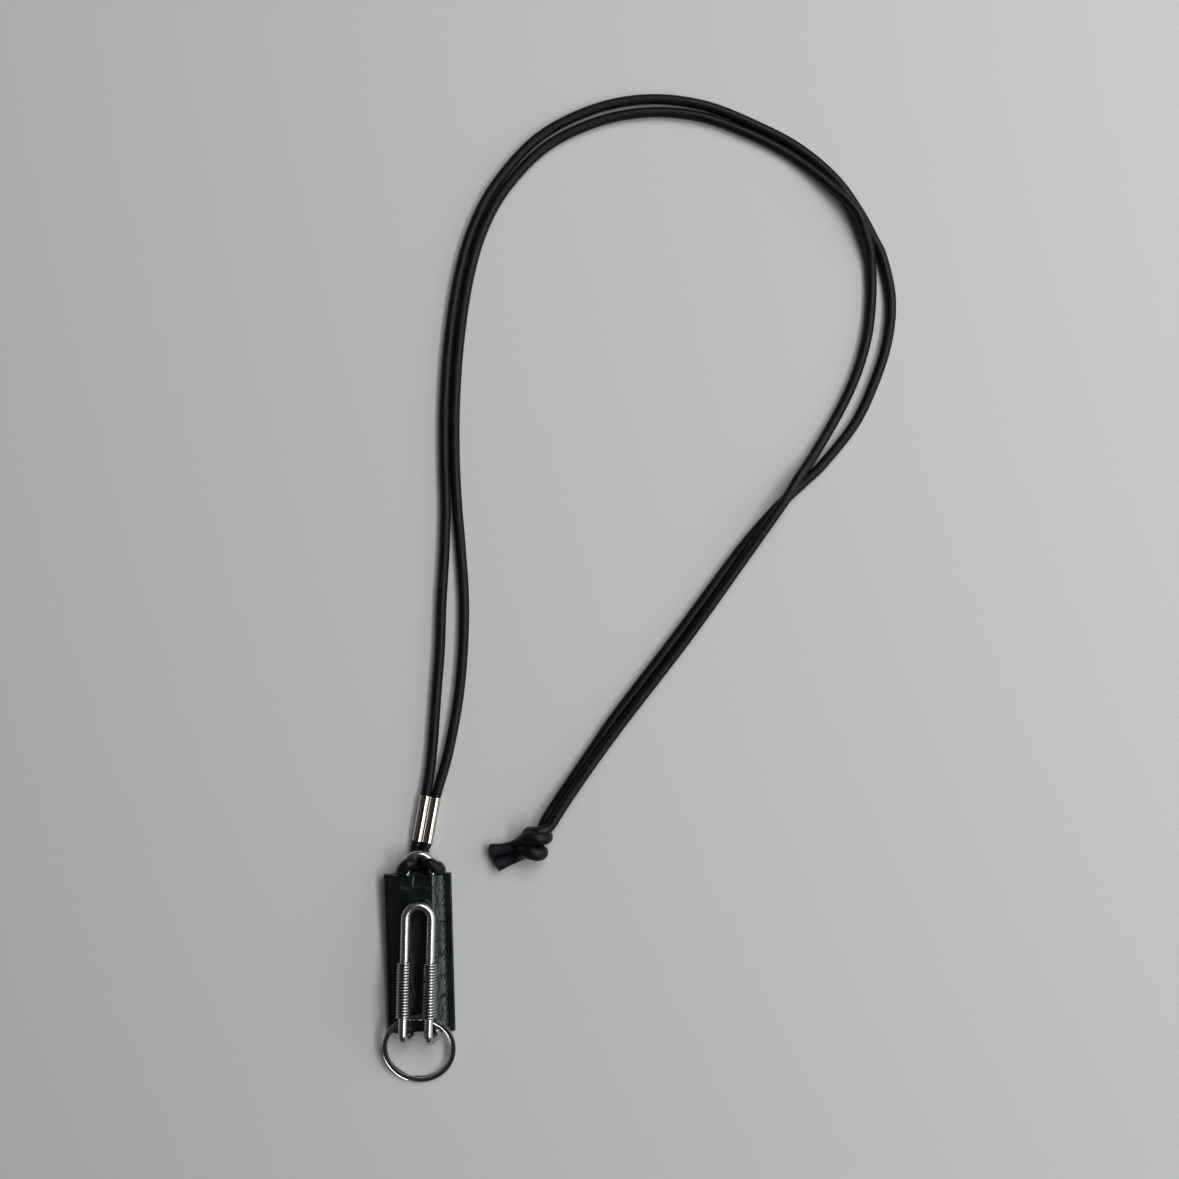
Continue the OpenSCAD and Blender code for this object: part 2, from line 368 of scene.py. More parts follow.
def leather_grain_group() -> bpy.types.NodeTree:
    """Builds the group of fine leather pores and soft patches.

    Returns:
        A group with outputs Height and Patches.
    """
    plan = GroupPlan(
        "leather_grain",
        (
            ("Vector", "NodeSocketVector", 0),
            ("Pore Scale", "NodeSocketFloat", 2600),
            ("Patch Scale", "NodeSocketFloat", 180),
        ),
        (("Height", "NodeSocketFloat"), ("Patches", "NodeSocketFloat")),
    )
    sheet, given, result = plan.start()
    pores = sheet.add("ShaderNodeTexVoronoi", feature="DISTANCE_TO_EDGE")
    sheet.feed(pores, Vector=given.outputs["Vector"], Scale=given.outputs["Pore Scale"])
    creases = sheet.remap(pores.outputs["Distance"], 0, 0.22)
    fine = sheet.add("ShaderNodeTexNoise")
    sheet.feed(fine, Vector=given.outputs["Vector"], Scale=given.outputs["Pore Scale"], Detail=3.0)
    patches = sheet.add("ShaderNodeTexNoise")
    sheet.feed(patches, Vector=given.outputs["Vector"], Scale=given.outputs["Patch Scale"], Detail=4.0)
    height = sheet.maths(
        "ADD", sheet.maths("MULTIPLY", creases, 0.6), sheet.maths("MULTIPLY", fine.outputs[0], 0.6)
    )
    sheet.feed(result, Height=height, Patches=patches.outputs[0])
    return sheet.tree


def handling_marks_group() -> bpy.types.NodeTree:
    """Builds the group of fine scratches and smears on metal.

    Returns:
        A group with outputs Scratches and Smears.
    """
    plan = GroupPlan(
        "handling_marks",
        (
            ("Vector", "NodeSocketVector", 0),
            ("Scratch Scale", "NodeSocketFloat", 900),
            ("Smear Scale", "NodeSocketFloat", 160),
        ),
        (("Scratches", "NodeSocketFloat"), ("Smears", "NodeSocketFloat")),
    )
    sheet, given, result = plan.start()
    scratches = None
    for turn, factor in ((0.5, (1, 14, 1)), (-0.9, (1, 18, 1))):
        turned = sheet.add("ShaderNodeMapping")
        sheet.feed(turned, Vector=given.outputs["Vector"], Rotation=(0.3, turn, turn), Scale=factor)
        noise = sheet.add("ShaderNodeTexNoise")
        sheet.feed(noise, Vector=turned.outputs[0], Scale=given.outputs["Scratch Scale"], Detail=2.0)
        line = sheet.remap(noise.outputs[0], 0.66, 0.74)
        scratches = line if scratches is None else sheet.maths("MAXIMUM", scratches, line)
    smears = sheet.add("ShaderNodeTexNoise")
    sheet.feed(
        smears,
        Vector=given.outputs["Vector"],
        Scale=given.outputs["Smear Scale"],
        Detail=5.0,
        Roughness=0.6,
    )
    sheet.feed(result, Scratches=scratches, Smears=smears.outputs[0])
    return sheet.tree


# ---------------------------------------------------------------------------------------------------
# Finishes
# ---------------------------------------------------------------------------------------------------


@dataclass(frozen=True)
class Finish:
    """What all finishes share: a name, the record's slot and a principled shader."""

    name: str
    slot: str

    def sheet(self) -> tuple[bpy.types.Material, NodeSheet, bpy.types.Node]:
        """Starts the material.

        Returns:
            The material, its sheet of nodes and its principled shader.
        """
        material = bpy.data.materials.new(self.name)
        material.use_nodes = True
        sheet = NodeSheet(material.node_tree)
        return material, sheet, material.node_tree.nodes["Principled BSDF"]

    def shared(self, sheet: NodeSheet, group: str, **inputs: object) -> bpy.types.Node:
        """Places a shared group in the material.

        Args:
            sheet: The material's sheet.
            group: The group's name.
            **inputs: Values or sockets for the group's inputs.

        Returns:
            The group's node.
        """
        node = sheet.add("ShaderNodeGroup", node_tree=bpy.data.node_groups[group])
        return sheet.feed(node, **inputs)

    def make(self) -> bpy.types.Material:
        """Builds the material.

        Returns:
            The finished material.
        """
        raise NotImplementedError


@dataclass(frozen=True)
class RoundLeather(Finish):
    """Black leather cord: satin, faintly ribbed across, with hairline cracks."""

    colour: tuple[float, float, float, float] = (0.0028, 0.0032, 0.0045, 1)
    bloom: tuple[float, float, float, float] = (0.007, 0.0085, 0.0125, 1)
    rib_scale: float = 700
    depth: float = 0.00007

    def make(self) -> bpy.types.Material:
        """Builds the cord's material from the cord's own UV map, metres around and along.

        Returns:
            The finished material.
        """
        material, sheet, shader = self.sheet()
        along = sheet.add("ShaderNodeUVMap", uv_map="along").outputs[0]
        marks = self.shared(sheet, "leather_grain", Vector=along, Pore_Scale=1500.0, Patch_Scale=120.0)
        ribs = sheet.noise(sheet.stretch(along, (0.35, 1, 1)), self.rib_scale, 2, 0.55)
        rib_mask = sheet.remap(sheet.noise(along, 40, 2), 0.42, 0.66)
        cracks = sheet.add("ShaderNodeTexVoronoi", feature="DISTANCE_TO_EDGE")
        sheet.feed(cracks, Vector=sheet.stretch(along, (0.55, 1, 1)), Scale=620.0)
        crack = sheet.remap(cracks.outputs["Distance"], 0, 0.09)
        lift = sheet.maths(
            "ADD",
            sheet.maths("MULTIPLY", marks.outputs["Height"], 0.35),
            sheet.maths("MULTIPLY", ribs, 0.9),
        )
        height = sheet.maths(
            "ADD", lift, sheet.maths("MULTIPLY", crack, sheet.maths("MULTIPLY", rib_mask, 0.5))
        )
        bump = sheet.add("ShaderNodeBump")
        sheet.feed(bump, Height=height, Distance=self.depth, Strength=0.9)
        worn = sheet.remap(marks.outputs["Patches"], 0.42, 0.75)
        colour = sheet.blend(sheet.maths("MULTIPLY", worn, 0.7), self.colour, self.bloom)
        sheet.feed(
            shader,
            # painted shade: the base colour darkens inside the hairline cracks
            Base_Color=sheet.blend(sheet.maths("SUBTRACT", 1.0, crack), colour, (0.002, 0.002, 0.0025, 1)),
            Roughness=sheet.remap(marks.outputs["Patches"], 0.3, 0.7, 0.4, 0.56),
            Normal=bump.outputs[0],
            Specular_IOR_Level=0.16,
            Coat_Weight=0.03,
            Coat_Roughness=0.3,
        )
        return material


@dataclass(frozen=True)
class EmbossedLeather(Finish):
    """Very dark green leather, polished on its raised scales and dull in its creases; its colour is darkened
    in the creases and along the scale edges as painted shade.
    """

    colour: tuple[float, float, float, float] = (0.002, 0.0038, 0.0028, 1)
    polished: tuple[float, float, float, float] = (0.0042, 0.0078, 0.0058, 1)
    # crease: the colour of the painted shade in the creases and along the scale edges
    crease: tuple[float, float, float, float] = (0.0012, 0.002, 0.0015, 1)
    depth: float = 0.0001

    def make(self) -> bpy.types.Material:
        """Builds the sleeve's material; the attribute "crease" marks the modelled creases.

        Returns:
            The finished material.
        """
        material, sheet, shader = self.sheet()
        place = sheet.add("ShaderNodeTexCoord").outputs["Object"]
        marks = self.shared(sheet, "leather_grain", Vector=place, Pore_Scale=1700.0, Patch_Scale=150.0)
        creased = sheet.add("ShaderNodeAttribute", attribute_name="crease").outputs["Fac"]
        bent = sheet.add("ShaderNodeVectorMath", operation="ADD")
        wobble = sheet.add("ShaderNodeTexNoise")
        sheet.feed(wobble, Vector=place, Scale=160.0)
        small = sheet.add("ShaderNodeVectorMath", operation="SCALE")
        sheet.feed(small, i0=wobble.outputs["Color"], Scale=0.003)
        sheet.feed(bent, i0=place, i1=small.outputs[0])
        cells = sheet.add("ShaderNodeTexVoronoi", feature="DISTANCE_TO_EDGE")
        sheet.feed(cells, Vector=sheet.stretch(bent.outputs[0], (1.5, 0.8, 0.6)), Scale=170.0)
        scale_edge = sheet.remap(cells.outputs["Distance"], 0, 0.11)
        height = sheet.maths(
            "ADD",
            sheet.maths("MULTIPLY", scale_edge, 0.3),
            sheet.maths("MULTIPLY", marks.outputs["Height"], 0.22),
        )
        bump = sheet.add("ShaderNodeBump")
        sheet.feed(bump, Height=height, Distance=self.depth, Strength=0.8)
        tone = sheet.blend(sheet.remap(marks.outputs["Patches"], 0.35, 0.7), self.colour, self.polished)
        # painted shade: this mask darkens the base colour towards the crease colour in the creases and at the
        # scale edges
        dark = sheet.maths("MAXIMUM", creased, sheet.remap(cells.outputs["Distance"], 0, 0.05, 0.15, 0))
        roughness = sheet.maths(
            "ADD",
            sheet.remap(marks.outputs["Patches"], 0.3, 0.7, 0.17, 0.25),
            sheet.maths("MULTIPLY", dark, 0.45),
        )
        sheet.feed(
            shader,
            Base_Color=sheet.blend(dark, tone, self.crease),
            Roughness=roughness,
            Normal=bump.outputs[0],
            Coat_Weight=sheet.remap(dark, 0, 0.5, 0.25, 0),
            Coat_Roughness=0.12,
            Specular_IOR_Level=0.5,
        )
        return material


@dataclass(frozen=True)
class PlainLeather(Finish):
    """Undyed leather of the hidden filler."""

    colour: tuple[float, float, float, float] = (0.3, 0.18, 0.1, 1)

    def make(self) -> bpy.types.Material:
        """Builds the filler's material.

        Returns:
            The finished material.
        """
        material, sheet, shader = self.sheet()
        place = sheet.add("ShaderNodeTexCoord").outputs["Object"]
        marks = self.shared(sheet, "leather_grain", Vector=place, Pore_Scale=1400.0, Patch_Scale=260.0)
        bump = sheet.add("ShaderNodeBump")
        sheet.feed(bump, Height=marks.outputs["Height"], Distance=0.0001, Strength=0.6)
        tone = sheet.blend(marks.outputs["Patches"], self.colour, (0.2, 0.11, 0.055, 1))
        sheet.feed(shader, Base_Color=tone, Roughness=0.75, Normal=bump.outputs[0])
        return material


@dataclass(frozen=True)
class Metal(Finish):
    """Bright metal: its colour, how polished it is, and how strongly it was drawn or ground."""

    colour: tuple[float, float, float, float]
    shade: tuple[float, float, float, float]
    smooth: float
    rough: float
    lines: float = 0
    line_stretch: Point = (30, 1, 1)

    def make(self) -> bpy.types.Material:
        """Builds the metal's material.

        Returns:
            The finished material.
        """
        material, sheet, shader = self.sheet()
        place = sheet.add("ShaderNodeTexCoord").outputs["Object"]
        marks = self.shared(sheet, "handling_marks", Vector=place, Scratch_Scale=420.0, Smear_Scale=170.0)
        drawn = sheet.noise(sheet.stretch(place, self.line_stretch), 260, 3, 0.6)
        smear = sheet.remap(marks.outputs["Smears"], 0.3, 0.7, self.smooth, self.rough)
        roughness = sheet.maths(
            "ADD", smear, sheet.maths("MULTIPLY", marks.outputs["Scratches"], 0.12), clamp=True
        )
        height = sheet.maths(
            "ADD",
            sheet.maths("MULTIPLY", drawn, self.lines),
            sheet.maths("MULTIPLY", marks.outputs["Scratches"], -0.15),
        )
        bump = sheet.add("ShaderNodeBump")
        sheet.feed(bump, Height=height, Distance=0.00002, Strength=0.6)
        grime = sheet.remap(marks.outputs["Smears"], 0.45, 0.8, 0, 0.6)
        sheet.feed(
            shader,
            Base_Color=sheet.blend(grime, self.colour, self.shade),
            Metallic=1.0,
            Roughness=roughness,
            Normal=bump.outputs[0],
        )
        return material


@dataclass(frozen=True)
class WaxedThread(Finish):
    """Dark waxed sewing thread with a twist."""

    colour: tuple[float, float, float, float] = (0.012, 0.016, 0.013, 1)

    def make(self) -> bpy.types.Material:
        """Builds the thread's material.

        Returns:
            The finished material.
        """
        material, sheet, shader = self.sheet()
        place = sheet.add("ShaderNodeTexCoord").outputs["Object"]
        turned = sheet.add("ShaderNodeMapping")
        sheet.feed(turned, Vector=place, Rotation=(0, 0, 0.7))
        twist = sheet.add("ShaderNodeTexWave", wave_type="BANDS", bands_direction="Y")
        sheet.feed(twist, Vector=turned.outputs[0], Scale=900.0, Distortion=0.6)
        bump = sheet.add("ShaderNodeBump")
        sheet.feed(bump, Height=twist.outputs["Fac"], Distance=0.00008, Strength=0.8)
        tone = sheet.blend(twist.outputs["Fac"], self.colour, (0.035, 0.042, 0.036, 1))
        sheet.feed(shader, Base_Color=tone, Roughness=0.5, Normal=bump.outputs[0])
        return material


@dataclass(frozen=True)
class PaleFloor(Finish):
    """The plain pale surface under the lanyard."""

    colour: tuple[float, float, float, float] = (0.47, 0.47, 0.47, 1)

    def make(self) -> bpy.types.Material:
        """Builds the floor's material.

        Returns:
            The finished material.
        """
        material, _, shader = self.sheet()
        shader.inputs["Base Color"].default_value = self.colour
        shader.inputs["Roughness"].default_value = 0.8
        return material


class FinishSet:
    """All the finishes, each made once when it is first asked for."""

    def __init__(self) -> None:
        """Makes the shared groups and lists the finishes."""
        leather_grain_group()
        handling_marks_group()
        self.cord = RoundLeather("black_cord_leather", "cord_leather")
        self.sleeve = EmbossedLeather("dark_green_scale_leather", "sleeve_leather")
        self.filler = PlainLeather("undyed_leather", "filler_leather")
        self.thread = WaxedThread("waxed_thread", "thread")
        self.wire = Metal(
            "satin_spring_steel", "spring_wire", (0.52, 0.52, 0.525, 1), (0.32, 0.315, 0.31, 1), 0.2, 0.3, 0.5
        )
        self.coil = Metal(
            "coil_spring_steel", "coil_wire", (0.37, 0.36, 0.35, 1), (0.18, 0.165, 0.15, 1), 0.2, 0.3, 0.3
        )
        self.ring = Metal(
            "polished_ring_steel", "ring_steel", (0.48, 0.48, 0.485, 1), (0.24, 0.23, 0.215, 1),
            0.1, 0.2, 0.4, (1, 1, 30),
        )
        self.ferrule = Metal(
            "polished_nickel", "ferrule_metal", (0.62, 0.58, 0.52, 1), (0.36, 0.32, 0.26, 1), 0.06, 0.16, 0.1
        )
        self.floor = PaleFloor("pale_floor", "")
        self._made: dict[str, bpy.types.Material] = {}

    def dress(self, piece: bpy.types.Object, finish: Finish) -> None:
        """Gives a piece its finish.

        Args:
            piece: The piece to dress.
            finish: One of this set's finishes.
        """
        if finish.name not in self._made:
            self._made[finish.name] = finish.make()
        piece.data.materials.clear()
        piece.data.materials.append(self._made[finish.name])


# ---------------------------------------------------------------------------------------------------
# The cord
# ---------------------------------------------------------------------------------------------------

# Route of the cord pair from the ferrule, in millimetres: x and y of the middle, distance between the
# strands, and the height of the left and of the right strand.
PAIR_ROUTE = (
    (5, 50.7, 3, 1.7, 1.7), (6.3, 55.5, 3.5, 1.6, 1.6), (8.3, 64.5, 4.9, 1.5, 1.5),
    (10.6, 79.5, 6.6, 1.5, 1.5), (12.2, 94, 6.9, 1.5, 1.5), (13, 109, 6.7, 1.5, 1.5),
    (13.3, 124, 4.9, 1.5, 1.5), (13.2, 138, 3.4, 1.5, 1.5), (13, 152.5, 3.1, 1.5, 1.5),
    (13.5, 169, 3.1, 1.5, 1.5), (15.2, 187, 3.1, 1.5, 1.5), (18.3, 205, 3.1, 1.5, 1.5),
    (23, 220, 3.1, 1.5, 1.5), (30.5, 233, 3.2, 1.5, 1.5), (43, 245.5, 3.6, 1.5, 1.5),
    (59, 253, 3.9, 1.5, 1.5), (75, 255.5, 3.9, 1.5, 1.5), (91, 253.5, 3.5, 1.5, 1.5),
    (106, 247.5, 3.1, 1.5, 1.5), (118.5, 240.5, 3.1, 1.5, 1.6), (129, 231.5, 2.7, 1.5, 2.9),
    (136.2, 222.5, 1.2, 1.5, 4.4), (140.2, 213.5, 2.4, 1.5, 3.4), (142, 207.5, 3.8, 1.5, 2),
    (143, 196, 5.9, 1.5, 1.5), (141.5, 184, 6.2, 1.5, 1.5), (137.5, 172, 5.9, 1.5, 1.5),
    (131.7, 160.5, 5.8, 1.5, 1.5), (123.2, 148.7, 3.8, 1.5, 2.2), (117.7, 142.5, 2.1, 1.5, 3.8),
    (112.7, 136.7, 0, 1.5, 4.7), (107.8, 131, -1.2, 1.5, 4.5), (98.9, 119.9, -2.4, 1.5, 3.5),
    (81.1, 96.5, -2.9, 1.5, 2.5), (62.2, 73, -2.7, 1.5, 3), (53.3, 61.1, -2.2, 1.5, 3.7),
    (44.8, 49.4, -2.1, 2, 4.6), (40, 42.3, -2.2, 3.1, 5.6),
)

# One half of the hitch: distance from the clip's middle line, y and height, in millimetres
HITCH_HALF = (
    (1.4, 35.6, 1.6), (1.4, 33.9, 1.6), (1.4, 32.7, 2.7), (1.45, 32, 4.6), (2.3, 31.6, 6.4),
    (4, 31.3, 7.1), (5.6, 30.7, 6.4), (6.2, 30.1, 4.5), (5.6, 29.8, 2.5), (4, 29.7, 1.8), (0, 29.7, 1.7),
)

# Each strand's way through the knot and out to its cut end, in millimetres
LEFT_KNOT = (
    (37.8, 39.2, 3.1), (35.6, 37.4, 3.7), (34.0, 36.4, 2.6), (34.6, 34.6, 2.3), (36.4, 33.7, 2.4),
    (37.6, 33.5, 3.9), (36.8, 33.5, 6.0), (34.9, 34.0, 6.5), (33.1, 34.2, 4.9), (31.4, 33.2, 3.2),
    (29.4, 31.9, 2.3),
)
RIGHT_KNOT = (
    (37.6, 39.8, 6.2), (35.4, 39.0, 5.4), (34.4, 38.9, 2.9), (36.2, 38.4, 2.3), (38.2, 38.1, 2.4),
    (39.1, 38.1, 4.1), (38.2, 38.2, 6.5), (36.0, 38.3, 7.2), (33.9, 37.8, 5.9), (32.1, 36.6, 3.6),
    (30.0, 35.4, 2.2),
)
LEFT_TAIL = ((27.0, 30.9, 2.1), (24.4, 29.9, 2.1))
RIGHT_TAIL = ((27.0, 34.5, 2.0), (22.6, 34.0, 2.0))


def ramp(value: float) -> float:
    """Rises smoothly from 0 to 1 as the value does, and stays level outside."""
    share = max(0.0, min(1.0, value))
    return 3 * share * share - 2 * share ** 3


@dataclass
class RoundCord:
    """A round cord swept along a path, with a UV map in metres around and along it."""

    path: list[Vector]
    radius: float = 1.5 * MM
    flats: int = 20
    swell: Callable[[float], float] = field(default=lambda _: 1.0)

    def frames(self) -> list[tuple[Vector, Vector, Vector]]:
        """Finds the cord's directions at each point without twist.

        Returns:
            For each point of the path its place, its side vector and its upper vector.
        """
        rows = []
        side = Vector((1, 0, 0))
        last = len(self.path) - 1
        for n, place in enumerate(self.path):
            run = (self.path[min(n + 1, last)] - self.path[max(n - 1, 0)]).normalized()
            side = (side - side.dot(run) * run).normalized()
            rows.append((place, side, side.cross(run)))
        return rows

    def lengths(self) -> list[float]:
        """Measures the path.

        Returns:
            The distance along the path of each of its points.
        """
        total = [0.0]
        for a, b in zip(self.path, self.path[1:]):
            total.append(total[-1] + (b - a).length)
        return total

    def mesh(self, name: str, first: int, last: int, cut_end: bool = False) -> bpy.types.Object:
        """Makes a closed tube of one stretch of the cord.

        Args:
            name: The piece's name.
            first: Index of the stretch's first point.
            last: Index of its last point.
            cut_end: Whether the last end is a cut face with a soft rim.

        Returns:
            The new piece.
        """
        frames = self.frames()
        lengths = self.lengths()
        rings = [(n, 0.0, 1.0) for n in range(first, last + 1)]
        if cut_end:
            rings += [(last, 0.12, 0.985), (last, 0.22, 0.93), (last, 0.24, 0.8), (last, 0.18, 0.45)]
        points, marks = [], []
        for n, ahead, part in rings:
            place, side, up = frames[n]
            run = up.cross(side)
            width = self.radius * part * self.swell(lengths[n])
            for k in range(self.flats):
                turn = 2 * math.pi * k / self.flats
                points.append(
                    place + run * (ahead * MM) + (side * math.cos(turn) + up * math.sin(turn)) * width
                )
            marks.append(lengths[n] + ahead * MM)
        faces = []
        for row in range(len(rings) - 1):
            for k in range(self.flats):
                a, b = row * self.flats + k, row * self.flats + (k + 1) % self.flats
                faces.append((a, b, b + self.flats, a + self.flats))
        end = (len(rings) - 1) * self.flats
        faces.append(tuple(range(self.flats - 1, -1, -1)))
        faces.append(tuple(end + k for k in range(self.flats)))
        piece = mesh_piece(name, points, faces)
        layer = piece.data.uv_layers.new(name="along")
        around = 2 * math.pi * self.radius
        for face in piece.data.polygons:
            if len(face.vertices) > 4:
                continue
            row = face.index // self.flats
            k = face.index % self.flats
            corners = ((k, row), (k + 1, row), (k + 1, row + 1), (k, row + 1))
            for loop, (turn, mark) in zip(face.loop_indices, corners):
                layer.data[loop].uv = (turn / self.flats * around, marks[mark])
        weld(piece)
        return settle(piece, name, angle=50)


@dataclass
class NeckCord:
    """The doubled cord: the hitch in the clip's eye, two strands, the knot and two cut ends."""

    finishes: FinishSet
    diameter: float = 3 * MM
    tight_diameter: float = 2.7 * MM
    steps_per_row: int = 11
    middle_x: float = 1.4
    ferrule_top: tuple[float, float] = (5, 50.7)
    ferrule_turn: float = 11.6
    ferrule_length: float = 13.7
    barrel_gap: float = 3
    ferrule_height: float = 1.7
    knot_bulge: float = 0.5
    cut_flare: float = 0.18
    left_reach: float = 0.76
    bend_drop: float = 0.9
    hitch_fill: float = 0.1
    hitch_bulge: float = 0.26
    hitch_bend: float = 12.5 * MM

    def strand_point(self, side: Side, at: float) -> Vector:
        """Finds a point of a strand's middle line.

        Args:
            side: Which strand.
            at: Position along the route's rows.

        Returns:
            The point, in metres.
        """
        last = len(PAIR_ROUTE) - 1
        row = curve_value(PAIR_ROUTE, at)
        before = curve_value(PAIR_ROUTE, max(at - 0.05, 0))
        after = curve_value(PAIR_ROUTE, min(at + 0.05, last))
        run = Vector((after[0] - before[0], after[1] - before[1])).normalized()
        away = side.value * row[2] / 2
        height = row[3] if side is Side.LEFT else row[4]
        return Vector((row[0] + run.y * away, row[1] - run.x * away, height)) * MM

    def strand_path(self, side: Side) -> tuple[list[Vector], int, int]:
        """Lays a strand from the ferrule through the knot to its cut end.

        Args:
            side: Which strand.

        Returns:
            The path, the index where the knot starts and the index where the tail starts.
        """
        rows = (len(PAIR_ROUTE) - 1) * self.steps_per_row
        path = [self.strand_point(side, n / self.steps_per_row) for n in range(rows + 1)]
        knot = LEFT_KNOT if side is Side.LEFT else RIGHT_KNOT
        tail = LEFT_TAIL if side is Side.LEFT else RIGHT_TAIL
        lead = path[-self.steps_per_row] / MM
        rest = (tuple(lead), tuple(path[-1] / MM)) + knot + tail
        steps = 5
        tail_start = 0
        for n in range(steps + 1, (len(rest) - 1) * steps + 1):
            if n == (len(knot) + 1) * steps:
                tail_start = len(path)
            path.append(Vector(curve_value(rest, n / steps)) * MM)
        return path, rows, tail_start

    def knot_swell(self, start: float, tail: float, end: float) -> Callable[[float], float]:
        """Makes the rule by which the leather bulges in the knot and flares at its cut end.

        Args:
            start: Length along the strand where the knot starts, in metres.
            tail: Length where the tail starts.
            end: Length where the cord is cut.

        Returns:
            A function from length to a factor of the cord's radius.
        """

        def swell(at: float) -> float:
            """Gives the factor of the radius at a length along the strand."""
            bulge = ramp((at - start - 1 * MM) / (5 * MM)) * (
                1 - 0.6 * ramp((at - tail + 5 * MM) / (6 * MM))
            )
            flare = ramp((at - end + 4 * MM) / (4 * MM))
            return 1 + self.knot_bulge * bulge + self.cut_flare * flare

        return swell

    def ferrule_point(self, side: Side, along: float) -> Point:
        """Finds a point on the middle of one of the ferrule's barrels, in millimetres."""
        turn = math.radians(self.ferrule_turn)
        across = side.value * self.barrel_gap / 2
        return (
            self.ferrule_top[0] + across * math.cos(turn) + along * math.sin(turn),
            self.ferrule_top[1] - across * math.sin(turn) + along * math.cos(turn),
            self.ferrule_height,
        )

    def hitch_path(self) -> list[Vector]:
        """Lays the cord's fold from one barrel of the ferrule through the clip's eye and back to the other.

        Returns:
            The path, in metres.
        """
        halves = []
        for side in (Side.LEFT, Side.RIGHT):
            rows = [self.ferrule_point(side, -0.4), self.ferrule_point(side, -self.ferrule_length)]
            reach = self.left_reach if side is Side.LEFT else 1
            for x, y, z in HITCH_HALF:
                out = min(x, 1.4) + max(x - 1.4, 0) * reach
                drop = self.bend_drop if x > 5 and y > 30 else 0
                rows.append((self.middle_x + side.value * out, y - drop, z))
            halves.append(rows)
        rows = halves[0] + halves[1][-2::-1]
        steps = 9
        return [Vector(curve_value(rows, n / steps)) * MM for n in range((len(rows) - 1) * steps + 1)]

    def build(self) -> list[bpy.types.Object]:
        """Returns:
            The pieces.
        """
        pieces = []
        knots = []
        for side, label in ((Side.LEFT, "left"), (Side.RIGHT, "right")):
            path, knot_start, tail_start = self.strand_path(side)
            cord = RoundCord(path)
            marks = cord.lengths()
            cord.swell = self.knot_swell(marks[knot_start], marks[tail_start], marks[-1])
            strand = cord.mesh(f"{label}_cord_strand", 0, knot_start)
            knots.append(cord.mesh(f"{label}_knot_turn", knot_start, tail_start))
            tail = cord.mesh(f"{label}_cord_tail", tail_start, len(path) - 1, cut_end=True)
            pieces += [strand, tail]
            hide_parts(f"{label}_strand")
        # the strands swap sides in the knot, so each tail stands for the other side's cut end
        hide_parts("right_tail")
        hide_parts("left_tail")
        pick(knots[0])
        knots[1].select_set(True)
        bpy.ops.object.join()
        knot = knots[0]
        knot.name = knot.data.name = "overhand_knot"
        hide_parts("end_knot")
        hitch = RoundCord(self.hitch_path(), self.tight_diameter / 2)
        whole = hitch.lengths()[-1]
        held = (self.ferrule_length + 1) * MM
        # the cord fills out again where the ferrule no longer squeezes it, most of all in its two bends
        hitch.swell = lambda at: (
            1
            + self.hitch_fill * ramp((min(at, whole - at) - held) / (4 * MM))
            + self.hitch_bulge
            * math.exp(-(((min(at, whole - at) - held - self.hitch_bend) / (2.6 * MM)) ** 2))
        )
        loop = hitch.mesh("cord_hitch_loop", 0, len(hitch.path) - 1)
        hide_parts("cord_hitch")
        pieces += [knot, loop]
        for piece in pieces:
            self.finishes.dress(piece, self.finishes.cord)
            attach(piece, Body.ROOT.value)
        return pieces


# ---------------------------------------------------------------------------------------------------
# The clip and what is on it
# ---------------------------------------------------------------------------------------------------


@dataclass(frozen=True)
class HeadPlace:
    """How the head lies: its eye rests on the hitch, so it slopes about the sleeve's lower edge."""

    slope: float = 2.7
    pivot_y: float = -19.5

    def matrix(self) -> Matrix:
        """Gives the place of the head's own frame, in metres."""
        pivot = Matrix.Translation((0, self.pivot_y * MM, 0))
        return pivot @ Matrix.Rotation(math.radians(self.slope), 4, "X") @ pivot.inverted()


@dataclass
class ClipWire:
    """Sizes of the clip's spring wire, in millimetres and degrees, in the head's frame."""

    diameter: float = 2.6
    rear_gap: float = 7.7
    front_gap: float = 7.6
    hook_height: float = 7.3
    hook_step: float = 1.7
    hook_radius: float = 2.2
    hook_y: float = -17.9
    arm_length: float = 38.8
    arm_slope: float = 4.9
    arm_lean: float = 2.5
    leg_x: float = 1.4
    leg_z: float = 2.05
    eye_y: float = 30.1
    head: HeadPlace = field(default_factory=HeadPlace)

    @property
    def hook_lean(self) -> float:
        """The hooks' lean from upright, in radians."""
        return math.asin(self.hook_step / self.hook_height)

    def arm_matrix(self) -> Matrix:
        """Gives the front arm's frame: its origin between the hooks' upper ends, +Y to the tip.

        Returns:
            The frame's place in the part.
        """
        rise = self.hook_height * math.cos(self.hook_lean)
        origin = Vector((self.leg_x - self.hook_step, self.hook_y, self.leg_z + rise)) * MM
        turn = Euler((math.radians(-self.arm_slope), 0, math.radians(-self.arm_lean)))
        return self.head.matrix() @ Matrix.Translation(origin) @ turn.to_matrix().to_4x4()


